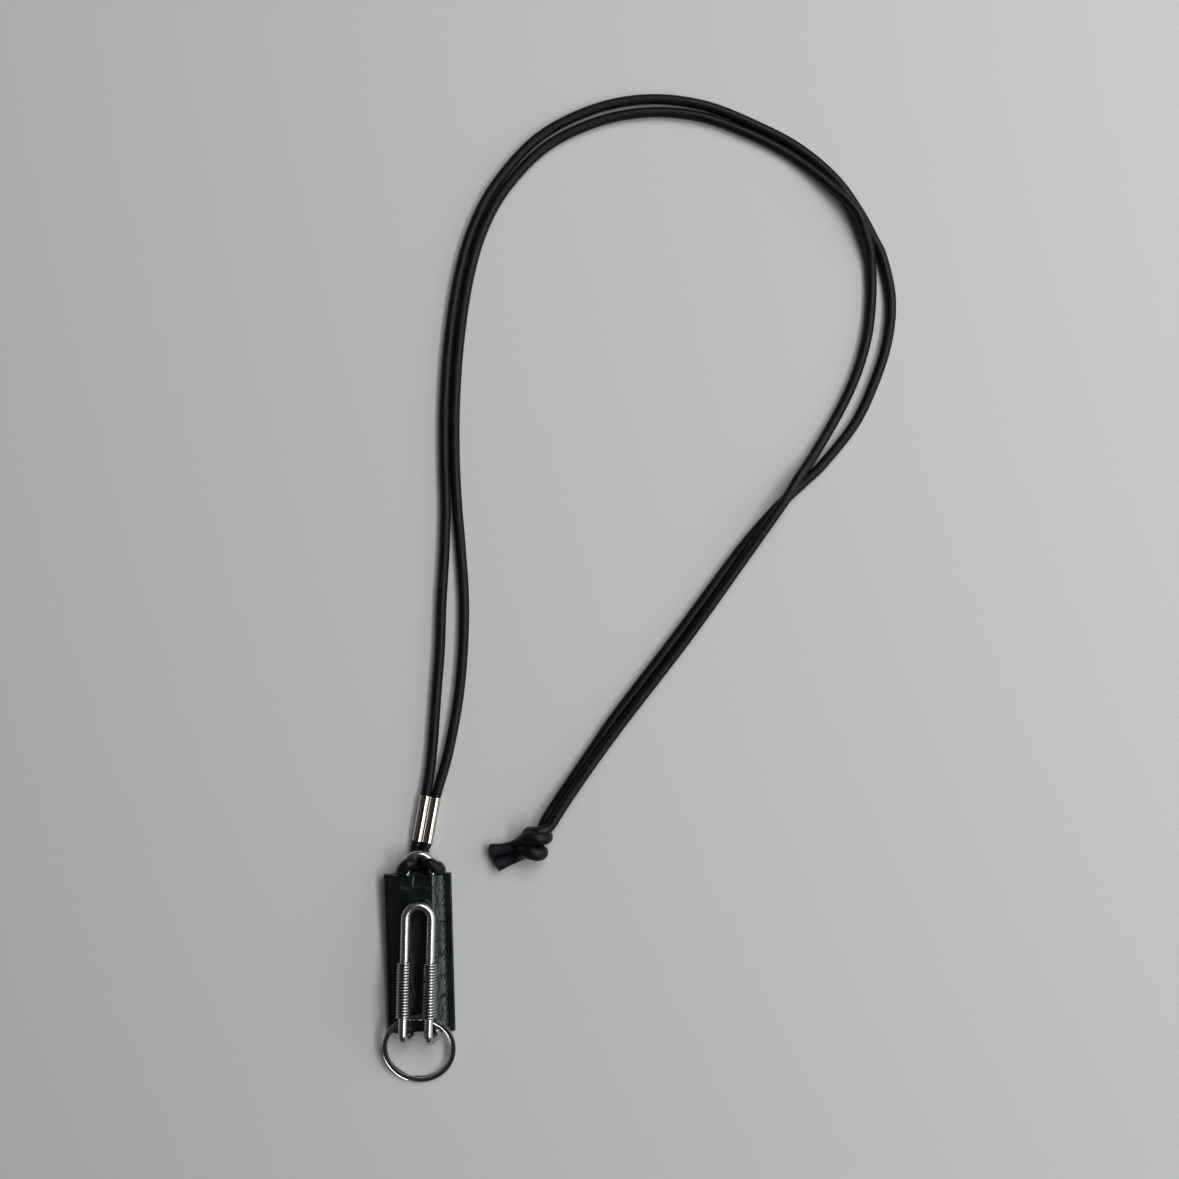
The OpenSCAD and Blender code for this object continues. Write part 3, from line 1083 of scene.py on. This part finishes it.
class WireBender:
    """Bends a round wire by hand: a ring of points is extruded along and spun round bends."""

    def __init__(self, name: str, radius: float, start: Vector, heading: Vector, flats: int = 28) -> None:
        """Starts the wire with its end ring.

        Args:
            name: The wire's name.
            radius: Half its diameter, in metres.
            start: Middle of the end ring.
            heading: Direction in which the wire leaves it.
            flats: Number of sides of the wire.
        """
        pick_nothing()
        turn = Vector((0, 0, 1)).rotation_difference(heading).to_euler()
        bpy.ops.mesh.primitive_circle_add(vertices=flats, radius=radius, location=start, rotation=turn)
        self.piece = bpy.context.object
        self.piece.name = name
        pick(self.piece)
        bpy.ops.object.transform_apply(location=True, rotation=True, scale=True)
        self.place = start.copy()
        self.heading = heading.normalized()
        bpy.ops.object.mode_set(mode="EDIT")
        bpy.ops.mesh.select_mode(type="VERT")
        bpy.ops.mesh.select_all(action="SELECT")

    def straight(self, length: float, parts: int = 1) -> None:
        """Runs the wire straight on.

        Args:
            length: How far, in metres.
            parts: In how many steps.
        """
        step = self.heading * (length / parts)
        for _ in range(parts):
            bpy.ops.mesh.extrude_region_move(TRANSFORM_OT_translate={"value": step})
        self.place = self.place + self.heading * length

    def bend(self, radius: float, degrees: float, towards: Vector) -> None:
        """Bends the wire round.

        Args:
            radius: Radius of the bend's middle line, in metres.
            degrees: How far it turns.
            towards: Direction from the wire to the bend's centre.
        """
        towards = (towards - towards.dot(self.heading) * self.heading).normalized()
        centre = self.place + towards * radius
        axis = self.heading.cross(towards).normalized()
        steps = max(4, round(degrees / 6))
        bpy.ops.mesh.spin(steps=steps, angle=-math.radians(degrees), center=centre, axis=axis)
        turn = Matrix.Rotation(math.radians(degrees), 3, axis)
        wanted = centre + turn @ (self.place - centre)
        mesh = bmesh.from_edit_mesh(self.piece.data)
        ends = [v.co for v in mesh.verts if v.select]
        found = sum(ends, Vector()) / max(len(ends), 1)
        if (found - wanted).length > radius * 0.1:
            raise ValueError(f"{self.piece.name}: the bend turned the wrong way")
        self.place = wanted
        self.heading = turn @ self.heading

    def close(self) -> bpy.types.Object:
        """Closes both ends and gives the wire.

        Returns:
            The closed wire.
        """
        bpy.ops.mesh.select_all(action="SELECT")
        bpy.ops.mesh.remove_doubles(threshold=WIRE_WELD_DISTANCE)
        bpy.ops.mesh.select_mode(type="EDGE")
        bpy.ops.mesh.select_all(action="DESELECT")
        bpy.ops.mesh.select_non_manifold()
        bpy.ops.mesh.edge_face_add()
        bpy.ops.mesh.select_all(action="SELECT")
        bpy.ops.mesh.normals_make_consistent(inside=False)
        bpy.ops.object.mode_set(mode="OBJECT")
        return self.piece


@dataclass
class SpringClip:
    """The wire clip: the rear loop with the cord's eye, the hooks, the front arm and two coils."""

    finishes: FinishSet
    wire: ClipWire = field(default_factory=ClipWire)
    coil_wire: float = 0.84
    coil_turns: int = 20
    coil_start: float = 4.3

    def rear_loop(self) -> bpy.types.Object:
        """Bends the rear loop: up one leg, round the eye and down the other."""
        w = self.wire
        start = Vector((w.leg_x - w.rear_gap / 2, w.hook_y + 0.4, w.leg_z)) * MM
        bender = WireBender("rear_wire_loop", w.diameter / 2 * MM, start, Vector((0, 1, 0)))
        leg = (w.eye_y - w.hook_y - 0.4) * MM
        bender.straight(leg, 4)
        bender.bend(w.rear_gap / 2 * MM, 180, Vector((1, 0, 0)))
        bender.straight(leg, 4)
        return settle(bender.close(), "rear_wire_loop", w.head.matrix(), 60)

    def front_loop(self) -> bpy.types.Object:
        """Bends the moving wire: up a hook, along the arm, round its tip and back down the other hook."""
        w = self.wire
        over = math.asin(math.sin(math.radians(w.arm_slope)) / math.cos(w.hook_lean))
        turn = math.radians(w.arm_lean) - math.atan(math.tan(over) * math.sin(w.hook_lean))
        plane = Matrix.Rotation(-turn, 3, "Z") @ Matrix.Rotation(-w.hook_lean, 3, "Y")
        ahead, up = plane @ Vector((0, 1, 0)), plane @ Vector((0, 0, 1))
        rise = w.hook_height * math.cos(w.hook_lean)
        middle = Vector((w.leg_x - w.hook_step, w.hook_y, w.leg_z + rise))
        across = Matrix.Rotation(math.radians(-w.arm_lean), 3, "Z") @ Vector((1, 0, 0))
        top = middle - across * w.front_gap / 2
        foot = top - ahead * (w.hook_radius * math.sin(over)) - up * w.hook_height
        bender = WireBender("front_wire_arm", w.diameter / 2 * MM, foot * MM, -ahead)
        shank = (w.hook_height - w.hook_radius - w.hook_radius * math.cos(over)) * MM
        arm = (w.arm_length - w.front_gap / 2 - w.diameter / 2) * MM
        bender.bend(w.hook_radius * MM, 90, up)
        bender.straight(shank)
        bender.bend(w.hook_radius * MM, 90 + math.degrees(over), ahead)
        bender.straight(arm, 3)
        bender.bend(w.front_gap / 2 * MM, 180, across)
        bender.straight(arm, 3)
        bender.bend(w.hook_radius * MM, 90 + math.degrees(over), -up)
        bender.straight(shank)
        bender.bend(w.hook_radius * MM, 90, ahead)
        return settle(bender.close(), "front_wire_arm", w.head.matrix(), 60)

    def coil(self, side: Side) -> bpy.types.Object:
        """Winds one coil as a long screw of thin wire.

        Args:
            side: On which leg of the front arm.

        Returns:
            The coil.
        """
        w = self.wire
        middle = w.diameter / 2 + self.coil_wire / 2 + 0.01
        name = f"{side.name.lower()}_wound_coil"
        pick_nothing()
        bpy.ops.mesh.primitive_circle_add(
            vertices=12,
            radius=self.coil_wire / 2 * MM,
            location=(middle * MM, 0, 0),
            rotation=(math.pi / 2, 0, 0),
        )
        piece = bpy.context.object
        pick(piece)
        bpy.ops.object.transform_apply(location=True, rotation=True, scale=True)
        winding = piece.modifiers.new("winding", "SCREW")
        winding.axis = "Z"
        winding.angle = 2 * math.pi
        winding.screw_offset = (self.coil_wire + 0.015) * MM
        winding.iterations = self.coil_turns - 1
        winding.steps = winding.render_steps = 26
        winding.use_merge_vertices = False
        apply_modifiers(piece)
        with editing(piece):
            bpy.ops.mesh.select_all(action="DESELECT")
            bpy.ops.mesh.select_mode(type="EDGE")
            bpy.ops.mesh.select_non_manifold()
            bpy.ops.mesh.edge_face_add()
            bpy.ops.mesh.select_all(action="SELECT")
            bpy.ops.mesh.normals_make_consistent(inside=False)
        shift = Vector((side.value * w.front_gap / 2, self.coil_start + self.coil_wire / 2, 0)) * MM
        start = 0.9 if side is Side.LEFT else 2.3
        laid = Matrix.Rotation(-math.pi / 2, 4, "X")
        place = Matrix.Translation(shift) @ laid @ Matrix.Rotation(start, 4, "Z")
        return settle(piece, name, w.arm_matrix() @ place, 60)

    def build(self) -> list[bpy.types.Object]:
        """Models and dresses the clip.

        Returns:
            The pieces.
        """
        rear, front = self.rear_loop(), self.front_loop()
        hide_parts("rear_wire")
        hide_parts("left_hook", "right_hook", "front_arm")
        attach(rear, Body.ROOT.value)
        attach(front, Body.ARM.value)
        for piece in (rear, front):
            self.finishes.dress(piece, self.finishes.wire)
        coils = [self.coil(Side.LEFT), self.coil(Side.RIGHT)]
        for piece, node in zip(coils, ("left_coil", "right_coil")):
            self.finishes.dress(piece, self.finishes.coil)
            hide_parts(node)
            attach(piece, Body.ARM.value)
        return [rear, front, *coils]


@dataclass
class Crease:
    """One crease of the embossed leather: from a point to a point of the front, in millimetres."""

    x0: float
    y0: float
    x1: float
    y1: float
    depth: float = 0.3
    width: float = 0.42
    sway: float = 0.35

    def amount(self, x: float, y: float) -> float:
        """Says how deep the crease is at a point of the front.

        Args:
            x: Across the sleeve.
            y: Along the sleeve.

        Returns:
            The depth, in millimetres.
        """
        dx, dy = self.x1 - self.x0, self.y1 - self.y0
        reach = math.hypot(dx, dy)
        along = ((x - self.x0) * dx + (y - self.y0) * dy) / (reach * reach)
        away = ((x - self.x0) * dy - (y - self.y0) * dx) / reach
        away += self.sway * math.sin(along * reach * 0.9 + self.x0 * 1.7 + self.y0)
        fade = min(1.0, max(0.0, min(along, 1 - along) * reach / 1.2 + 0.5))
        return self.depth * fade * math.exp(-((away / self.width) ** 2))


@dataclass
class LeatherSleeve:
    """The sleeve: a strip of scaly leather folded over the wire at the left and sewn at the right."""

    finishes: FinishSet
    wire: ClipWire = field(default_factory=ClipWire)
    width: float = 20.3
    length: float = 47.6
    middle_x: float = 0.65
    leather: float = 0.75
    edge: float = 1.7
    stitch_inset: float = 2.4
    stitch_pitch: float = 2.6
    fold_radius: float = 1.1
    creases: tuple[Crease, ...] = (
        Crease(-6.8, 24.9, 7.2, 24.5, 0.12), Crease(3.6, 13.3, 7.5, 13.4, 0.26),
        Crease(3.4, 3.2, 7.5, 3.4, 0.26), Crease(3.6, -9.2, 7.5, -9.0, 0.26),
        Crease(-8.3, 28.1, -8.2, -19.5, 0.16, 0.35, 0.1), Crease(-0.9, 28.1, -0.5, 24.7, 0.14),
        Crease(0.4, -9.1, 0.7, -19.5, 0.12), Crease(6.1, 28.1, 5.7, 13.4, 0.14, 0.3),
        Crease(5.6, 3.3, 5.9, -9.0, 0.1, 0.3), Crease(6.0, -9.0, 5.9, -19.5, 0.12, 0.3),
        Crease(5.2, 19.3, 7.6, 18.6, 0.16, 0.3), Crease(4.6, 8.4, 7.6, 8.0, 0.16, 0.3),
        Crease(5.2, -2.8, 7.6, -3.3, 0.16, 0.3), Crease(-9.9, 19.2, -7.0, 18.6, 0.16, 0.35),
        Crease(-9.9, 7.6, -7.0, 8.2, 0.16, 0.35), Crease(-9.9, -3.8, -7.0, -3.2, 0.16, 0.35),
        Crease(-9.9, -14.6, -7.0, -14.0, 0.16, 0.35),
    )

    @property
    def height(self) -> float:
        """Height of the raised middle over the wire."""
        return self.wire.diameter + 2 * self.leather

    def outline(self) -> list[tuple[float, float]]:
        """Draws the sleeve across its length, from the fold's underside over the front to the sewn edge.

        Returns:
            Points, x across and z up, with the flat underside last.
        """
        left, right = -self.width / 2, self.width / 2
        middle = self.wire.leg_x - self.middle_x
        reach, wire_r = self.wire.rear_gap / 2, self.wire.diameter / 2
        crown_left = middle - reach - wire_r - 0.6
        crown_right = middle + reach + 0.1
        seam_left = right - self.stitch_inset - 0.25
        points = []
        for n in range(11):
            turn = math.radians(270 - 18 * n)
            across, up = 1 + math.cos(turn), 1 + math.sin(turn)
            points.append((left + self.fold_radius * across, self.fold_radius * up))
        for x0, z0, x1, z1, steps in (
            (left + self.fold_radius, 2 * self.fold_radius, crown_left, self.height, 14),
            (crown_left, self.height, crown_right, self.height, 40),
            (crown_right, self.height, seam_left, self.edge, 18),
            (seam_left, self.edge, right - 0.35, self.edge, 9),
            (right - 0.35, self.edge, right, self.edge - 0.35, 3),
            (right, self.edge - 0.35, right, 0.3, 4),
            (right, 0.3, right - 0.3, 0, 2),
            (right - 0.3, 0, left + self.fold_radius, 0, 40),
        ):
            for n in range(1, steps + 1):
                t = n / steps
                soft = 3 * t * t - 2 * t ** 3
                points.append((x0 + (x1 - x0) * t, z0 + (z1 - z0) * (0.65 * t + 0.35 * soft)))
        return points[:-1]

    def front_relief(self, x: float, y: float) -> tuple[float, float]:
        """Works out the embossing at a point of the front.

        Args:
            x: Across the sleeve, from its middle.
            y: Along the sleeve.

        Returns:
            How far the surface sinks, and how much of that is crease, from 0 to 1.
        """
        deepest = max(crease.amount(x, y) for crease in self.creases)
        pad = 0.09 * math.sin(x * 0.9 + y * 0.31) * math.sin(y * 0.63 - x * 0.22)
        middle = self.wire.leg_x - self.middle_x
        valley = 0.16 * math.exp(-(((x - middle) / 2.2) ** 2))
        return deepest + valley + 0.5 * max(0.0, pad), min(1.0, deepest / 0.3)

    def wire_space(self, outline: Sequence[tuple[float, float]]) -> list[tuple[float, float]]:
        """Draws the wire's space inside the sleeve: round at each leg, and flat between the legs.

        Args:
            outline: The sleeve's outside.

        Returns:
            As many points as the outside has, spread evenly round each leg.
        """
        middle = self.wire.leg_x - self.middle_x
        reach, hole = self.wire.rear_gap / 2, self.wire.diameter / 2 + 0.05
        centre_z = self.wire.leg_z
        count = len(outline)
        inner: list[tuple[float, float]] = []
        turns: dict[int, float] = {}
        for side, start in ((-1, 270), (1, 90)):
            group = [n for n, (x, _) in enumerate(outline) if side * (x - middle) > reach]
            if side < 0:
                group.sort(key=lambda n: n if n > count / 2 else n + count)
            for order, n in enumerate(group):
                turns[n] = math.radians(start - 180 * (order + 0.5) / len(group))
        for n, (x, z) in enumerate(outline):
            if n in turns:
                side = math.copysign(reach, x - middle)
                across, up = hole * math.cos(turns[n]), hole * math.sin(turns[n])
                inner.append((middle + side + across, centre_z + up))
            else:
                inner.append((x, centre_z + math.copysign(hole, z - centre_z)))
        return inner

    def shell(self) -> bpy.types.Object:
        """Lofts the sleeve along its length, with the wire's space inside, and embosses its front.

        Returns:
            The sleeve, in the head's frame.
        """
        outline = self.outline()
        inner = self.wire_space(outline)
        rows = 150
        y0 = self.wire.head.pivot_y
        count = len(outline)
        points: list[Vector] = []
        sunk: list[float] = []
        for row in range(rows + 1):
            y = y0 + self.length * row / rows
            end = min(row, rows - row) / rows * self.length
            lip = 0.12 * math.exp(-end / 0.35)
            for x, z in outline:
                # the creases sink into the front, and less where the seam holds the edge flat
                deep, crease = self.front_relief(x, y)
                front = max(0.0, min(1.0, (z - 0.9) / 0.8))
                edge_fade = 1.0 if x < self.width / 2 - 1.6 else 0.25
                drop = (deep * front * edge_fade) + lip * (1 if z > 0.05 else 0)
                bulge = 0.05 * math.sin(y * 0.8 + x) * front * (1 if end > 1 else 0)
                rim = 1 - 0.004 * math.exp(-end / 0.3)
                height = max(0.0, z - drop + min(0.0, bulge))
                points.append(Vector((x * rim + self.middle_x, y, height)) * MM)
                sunk.append(crease * front)
        for row in range(rows + 1):
            y = y0 + self.length * row / rows
            for x, z in inner:
                points.append(Vector((x + self.middle_x, y, z)) * MM)
                sunk.append(1.0)
        faces = []
        base = (rows + 1) * count
        for row in range(rows):
            for k in range(count):
                a, b = row * count + k, row * count + (k + 1) % count
                faces.append((a, a + count, b + count, b))
                faces.append((base + a, base + b, base + b + count, base + a + count))
        for k in range(count):
            b = (k + 1) % count
            faces.append((k, b, base + b, base + k))
            far = rows * count
            faces.append((far + k, base + far + k, base + far + b, far + b))
        piece = mesh_piece("scale_leather_sleeve", points, faces)
        mark = piece.data.attributes.new("crease", "FLOAT", "POINT")
        for n, value in enumerate(sunk):
            mark.data[n].value = value
        return piece

    def cut_mouth(self, sleeve: bpy.types.Object) -> None:
        """Cuts the front leather back at the mouth, where the hooks turn up.

        Args:
            sleeve: The sleeve, in the head's frame.
        """
        w = self.wire
        cutters = []
        notch = w.rear_gap + w.diameter + 1
        pick_nothing()
        centre = (w.leg_x * MM, (w.head.pivot_y - 1 + 0.85) * MM, (w.leg_z + self.height / 2) * MM)
        bpy.ops.mesh.primitive_cube_add(size=MM, location=centre)
        cube = bpy.context.object
        cube.scale = (notch, 1.7, self.height)
        cutters.append(cube)
        for side in (-1, 1):
            pick_nothing()
            bpy.ops.mesh.primitive_cylinder_add(
                vertices=32, radius=(w.diameter / 2 + 0.12) * MM, depth=5 * MM
            )
            rod = bpy.context.object
            tilt = Matrix.Rotation(math.radians(-30), 4, "X") @ Matrix.Rotation(math.pi / 2, 4, "X")
            place = Vector((w.leg_x + side * w.rear_gap / 2, w.hook_y, w.leg_z)) * MM
            rod.matrix_basis = Matrix.Translation(place) @ tilt @ Matrix.Translation((0, 0, 2.5 * MM))
            cutters.append(rod)
        bpy.context.view_layer.update()
        for cutter in cutters:
            cut = sleeve.modifiers.new("cut", "BOOLEAN")
            cut.operation = "DIFFERENCE"
            cut.object = cutter
            cut.solver = "MANIFOLD"
            apply_modifiers(sleeve)
        for cutter in cutters:
            bpy.data.objects.remove(cutter, do_unlink=True)

    def stitches(self) -> bpy.types.Object:
        """Sews the edge: one slanting stitch is modelled and copied along the seam.

        Returns:
            All the stitches as one piece, in the head's frame.
        """
        count = int((self.length - 3) / self.stitch_pitch)
        first = self.wire.head.pivot_y + (self.length - count * self.stitch_pitch) / 2
        x = self.middle_x + self.width / 2 - self.stitch_inset
        pick_nothing()
        bpy.ops.mesh.primitive_uv_sphere_add(segments=14, ring_count=10, radius=0.28 * MM)
        stitch = bpy.context.object
        with editing(stitch):
            for end, reach in ((1, 0.72), (-1, -0.72)):
                select_points(stitch, lambda p, end=end: p.y * end > 0.01 * MM)
                bpy.ops.transform.translate(value=(0, reach * MM, 0))
            select_points(stitch, lambda p: abs(p.y) > 0.75 * MM)
            bpy.ops.transform.translate(value=(0, 0, -0.12 * MM))
        copies = [stitch]
        for n in range(1, count):
            copy = stitch.copy()
            copy.data = stitch.data.copy()
            bpy.context.collection.objects.link(copy)
            copies.append(copy)
        for n, piece in enumerate(copies):
            y = first + (n + 0.5) * self.stitch_pitch
            lean = math.radians(7 + 3 * math.sin(n * 2.3))
            place = Matrix.Translation(Vector((x, y, self.edge + 0.02)) * MM)
            piece.matrix_basis = place @ Matrix.Rotation(lean, 4, "Z")
        pick(stitch)
        for piece in copies:
            piece.select_set(True)
        bpy.ops.object.join()
        return stitch

    def filler(self) -> bpy.types.Object:
        """Models the strip between the wire's legs, with soft edges.

        Returns:
            The filler, in the head's frame.
        """
        w = self.wire
        inner = w.rear_gap - w.diameter - 0.1
        pick_nothing()
        centre = (w.leg_x * MM, (w.head.pivot_y + 3 + (self.length - 5) / 2) * MM, w.leg_z * MM)
        bpy.ops.mesh.primitive_cube_add(size=MM, location=centre)
        strip = bpy.context.object
        strip.scale = (inner, self.length - 5, w.diameter)
        pick(strip)
        bpy.ops.object.transform_apply(location=True, rotation=True, scale=True)
        with editing(strip):
            bpy.ops.mesh.select_all(action="SELECT")
            bpy.ops.mesh.bevel(offset=0.3 * MM, segments=3)
        return strip

    def build(self) -> list[bpy.types.Object]:
        """Models and dresses the sleeve.

        Returns:
            The pieces.
        """
        sleeve = self.shell()
        weld(sleeve)
        self.cut_mouth(sleeve)
        place = self.wire.head.matrix()
        settle(sleeve, "scale_leather_sleeve", place, 35)
        seam = settle(self.stitches(), "edge_stitches", place, 60)
        strip = settle(self.filler(), "wire_filler_strip", place, 35)
        rows = (
            (sleeve, "leather_sleeve", self.finishes.sleeve),
            (seam, "sleeve_stitching", self.finishes.thread),
            (strip, "sleeve_filler", self.finishes.filler),
        )
        for piece, node, finish in rows:
            self.finishes.dress(piece, finish)
            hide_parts(node)
            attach(piece, Body.ROOT.value)
        return [sleeve, seam, strip]


@dataclass
class KeyRing:
    """The split ring: two turns of flat wire with a step between them."""

    finishes: FinishSet
    diameter: float = 21.8
    wire_width: float = 1.35
    turn_height: float = 1.0
    slope: float = 14.6
    y: float = -24.2
    step_turn: float = 258
    end_gap: float = 8

    def ring_height(self) -> float:
        """Height of the ring's centre: its lower side rests on the floor."""
        slope = math.radians(self.slope)
        middle = (self.diameter - self.wire_width) / 2
        low = middle * math.sin(slope) + self.turn_height * math.cos(slope)
        return low + self.wire_width / 2 * math.sin(slope)

    def build(self) -> list[bpy.types.Object]:
        """Models and dresses the ring.

        Returns:
            The ring, in a list.
        """
        pick_nothing()
        middle = (self.diameter - self.wire_width) / 2 * MM
        bpy.ops.mesh.primitive_plane_add(size=MM, location=(middle, 0, 0), rotation=(math.pi / 2, 0, 0))
        piece = bpy.context.object
        piece.scale = (self.wire_width, self.turn_height - 0.02, 1)
        pick(piece)
        bpy.ops.object.transform_apply(location=True, rotation=True, scale=True)
        with editing(piece):
            bpy.ops.mesh.select_all(action="SELECT")
            bpy.ops.mesh.bevel(offset=0.42 * MM, segments=5, affect="VERTICES")
            bpy.ops.mesh.delete(type="ONLY_FACE")
        turns = 720 - self.end_gap
        steps = 190
        screw = piece.modifiers.new("turns", "SCREW")
        screw.axis = "Z"
        screw.angle = math.radians(turns)
        screw.screw_offset = 100 * MM
        screw.steps = screw.render_steps = steps
        screw.use_merge_vertices = False
        apply_modifiers(piece)
        # the screw's rise tells how far round each point is; it becomes two flat turns with a step between
        half_step = 16
        for vertex in piece.data.vertices:
            share = (vertex.co.z + 0.5 * self.turn_height * MM) / (100 * MM)
            row = round(share * steps)
            degrees = row / steps * turns
            section = vertex.co.z - row / steps * 100 * MM
            t = min(1.0, max(0.0, (degrees - (turns / 2 - half_step)) / (2 * half_step)))
            rise = (3 * t * t - 2 * t ** 3 - 0.5) * self.turn_height * MM
            vertex.co.z = section + rise
        with editing(piece):
            bpy.ops.mesh.select_all(action="DESELECT")
            bpy.ops.mesh.select_mode(type="EDGE")
            bpy.ops.mesh.select_non_manifold()
            bpy.ops.mesh.edge_face_add()
            bpy.ops.mesh.select_all(action="SELECT")
            bpy.ops.mesh.normals_make_consistent(inside=False)
        place = (
            Matrix.Translation(Vector((0, self.y, self.ring_height())) * MM)
            @ Matrix.Rotation(math.radians(self.slope), 4, "X")
            @ Matrix.Rotation(math.radians(self.step_turn), 4, "Z")
        )
        ring = settle(piece, "split_key_ring", place, 50)
        self.finishes.dress(ring, self.finishes.ring)
        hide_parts("split_ring")
        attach(ring, Body.RING.value)
        return [ring]


@dataclass
class DoubleFerrule:
    """The polished metal tube with two barrels that holds the cord together."""

    finishes: FinishSet
    length: float = 13.7
    barrel: float = 3.4
    gap: float = 3.0
    wall: float = 0.33
    top: tuple[float, float] = (5, 50.7)
    turn: float = 11.6

    def tube(self, across: float, radius: float, past: float) -> bpy.types.Object:
        """Makes a closed cylinder along one barrel.

        Args:
            across: How far the barrel is from the middle, in millimetres.
            radius: The cylinder's radius.
            past: How far it reaches past each end of the ferrule.

        Returns:
            The cylinder.
        """
        pick_nothing()
        bpy.ops.mesh.primitive_cylinder_add(
            vertices=64, radius=radius * MM, depth=(self.length + 2 * past) * MM,
            location=(across * MM, -self.length / 2 * MM, 0), rotation=(math.pi / 2, 0, 0),
        )
        piece = bpy.context.object
        pick(piece)
        bpy.ops.object.transform_apply(location=True, rotation=True, scale=True)
        return piece

    def build(self) -> list[bpy.types.Object]:
        """Models and dresses the ferrule.

        Returns:
            The ferrule, in a list.
        """
        piece = self.tube(self.gap / 2, self.barrel / 2, 0)
        bore = self.barrel / 2 - self.wall
        for operation, across, radius, past in (
            ("UNION", -self.gap / 2, self.barrel / 2, 0),
            ("DIFFERENCE", -self.gap / 2, bore, 1),
            ("DIFFERENCE", self.gap / 2, bore, 1),
        ):
            other = self.tube(across, radius, past)
            joint = piece.modifiers.new("barrel", "BOOLEAN")
            joint.operation = operation
            joint.solver = "EXACT"
            joint.object = other
            apply_modifiers(piece)
            bpy.data.objects.remove(other)
        place = Matrix.Translation(Vector((*self.top, self.barrel / 2)) * MM) @ Matrix.Rotation(
            math.radians(-self.turn), 4, "Z"
        )
        ferrule = settle(piece, "double_ferrule", place, 50)
        self.finishes.dress(ferrule, self.finishes.ferrule)
        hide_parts("cord_ferrule")
        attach(ferrule, Body.ROOT.value)
        return [ferrule]


# ---------------------------------------------------------------------------------------------------
# Studio
# ---------------------------------------------------------------------------------------------------


@dataclass(frozen=True)
class SoftLamp:
    """One large soft lamp: where it hangs, how big and how strong it is."""

    name: str
    place: Point
    size: tuple[float, float]
    watts: float
    colour: tuple[float, float, float] = (1, 1, 1)

    def hang(self, target: Vector) -> None:
        """Hangs the lamp and points it at a target.

        Args:
            target: Where the lamp points.
        """
        lamp = bpy.data.lights.new(self.name, "AREA")
        lamp.shape = "RECTANGLE"
        lamp.size, lamp.size_y = self.size
        lamp.energy = self.watts
        lamp.color = self.colour
        holder = bpy.data.objects.new(self.name, lamp)
        holder.location = self.place
        holder.rotation_euler = (target - Vector(self.place)).to_track_quat("-Z", "Y").to_euler()
        bpy.context.collection.objects.link(holder)


@dataclass
class Studio:
    """The pale floor, the soft lamps and the camera straight above."""

    finishes: FinishSet
    middle: tuple[float, float] = (53.86, 111.36)
    camera_height: float = 491
    camera_turn: float = -1.3
    floor_size: float = 3.0
    lamps: tuple[SoftLamp, ...] = (
        SoftLamp("window_light", (0.74, 0.0, 1.02), (1.4, 0.24), 9.5),
        SoftLamp("side_light", (1.0, 0.1, 0.42), (1.3, 0.5), 4.0, (0.86, 0.97, 1)),
        SoftLamp("high_light", (0.5, 0.85, 1.1), (0.8, 0.8), 11.0),
        SoftLamp("warm_card", (-0.8, 0.0, 0.5), (0.9, 0.9), 0.12, (1, 0.8, 0.6)),
    )

    def place_camera(self) -> None:
        """Puts the camera above the lanyard."""
        data = bpy.data.cameras.new("camera")
        data.lens = 50
        data.sensor_width = 36
        data.clip_start = 0.01
        camera = bpy.data.objects.new("camera", data)
        camera.location = Vector((*self.middle, self.camera_height)) * MM
        camera.rotation_euler = (0, 0, math.radians(self.camera_turn))
        bpy.context.collection.objects.link(camera)
        bpy.context.scene.camera = camera

    def light(self) -> None:
        """Lays the floor, hangs the lamps and sets a grey sky."""
        pick_nothing()
        bpy.ops.mesh.primitive_plane_add(size=self.floor_size, location=(*(m * MM for m in self.middle), 0))
        floor = settle(bpy.context.object, "pale_floor")
        self.finishes.dress(floor, self.finishes.floor)
        target = Vector((*self.middle, 0)) * MM
        for lamp in self.lamps:
            lamp.hang(target)
        world = bpy.data.worlds.new("studio")
        world.use_nodes = True
        world.node_tree.nodes["Background"].inputs[0].default_value = (0.9, 0.93, 1, 1)
        world.node_tree.nodes["Background"].inputs[1].default_value = 0.035
        bpy.context.scene.world = world
        bpy.context.scene.view_settings.view_transform = "Standard"


def dress_frame_nodes(frame: dict, finishes: FinishSet) -> None:
    """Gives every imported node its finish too, for views that show it.

    Args:
        finishes: The finishes.
    """
    by_slot = {f.slot: f for f in vars(finishes).values() if isinstance(f, Finish) and f.slot}
    for row in frame["record"]["subparts"]:
        node = frame["nodes"].get(row["node"])
        if node is not None and row["material_slot"] in by_slot:
            finish = by_slot[row["material_slot"]]
            material = bpy.data.materials.get(finish.name)
            if material and node.data.materials:
                node.material_slots[0].material = material


def main() -> None:
    """Builds the lanyard's looks piece by piece."""
    logging.basicConfig(level=logging.INFO, format="%(name)s: %(message)s")
    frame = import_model()
    finishes = FinishSet()
    studio = Studio(finishes)
    studio.place_camera()
    pieces = []
    for maker in (NeckCord, DoubleFerrule, SpringClip, LeatherSleeve, KeyRing):
        made = maker(finishes).build()
        for piece in made:
            LOG.info("%s: %d faces", piece.name, len(piece.data.polygons))
        pieces += made
    dress_frame_nodes(frame, finishes)
    studio.light()
    LOG.info("%d pieces", len(pieces))


if __name__ == "__main__":
    main()
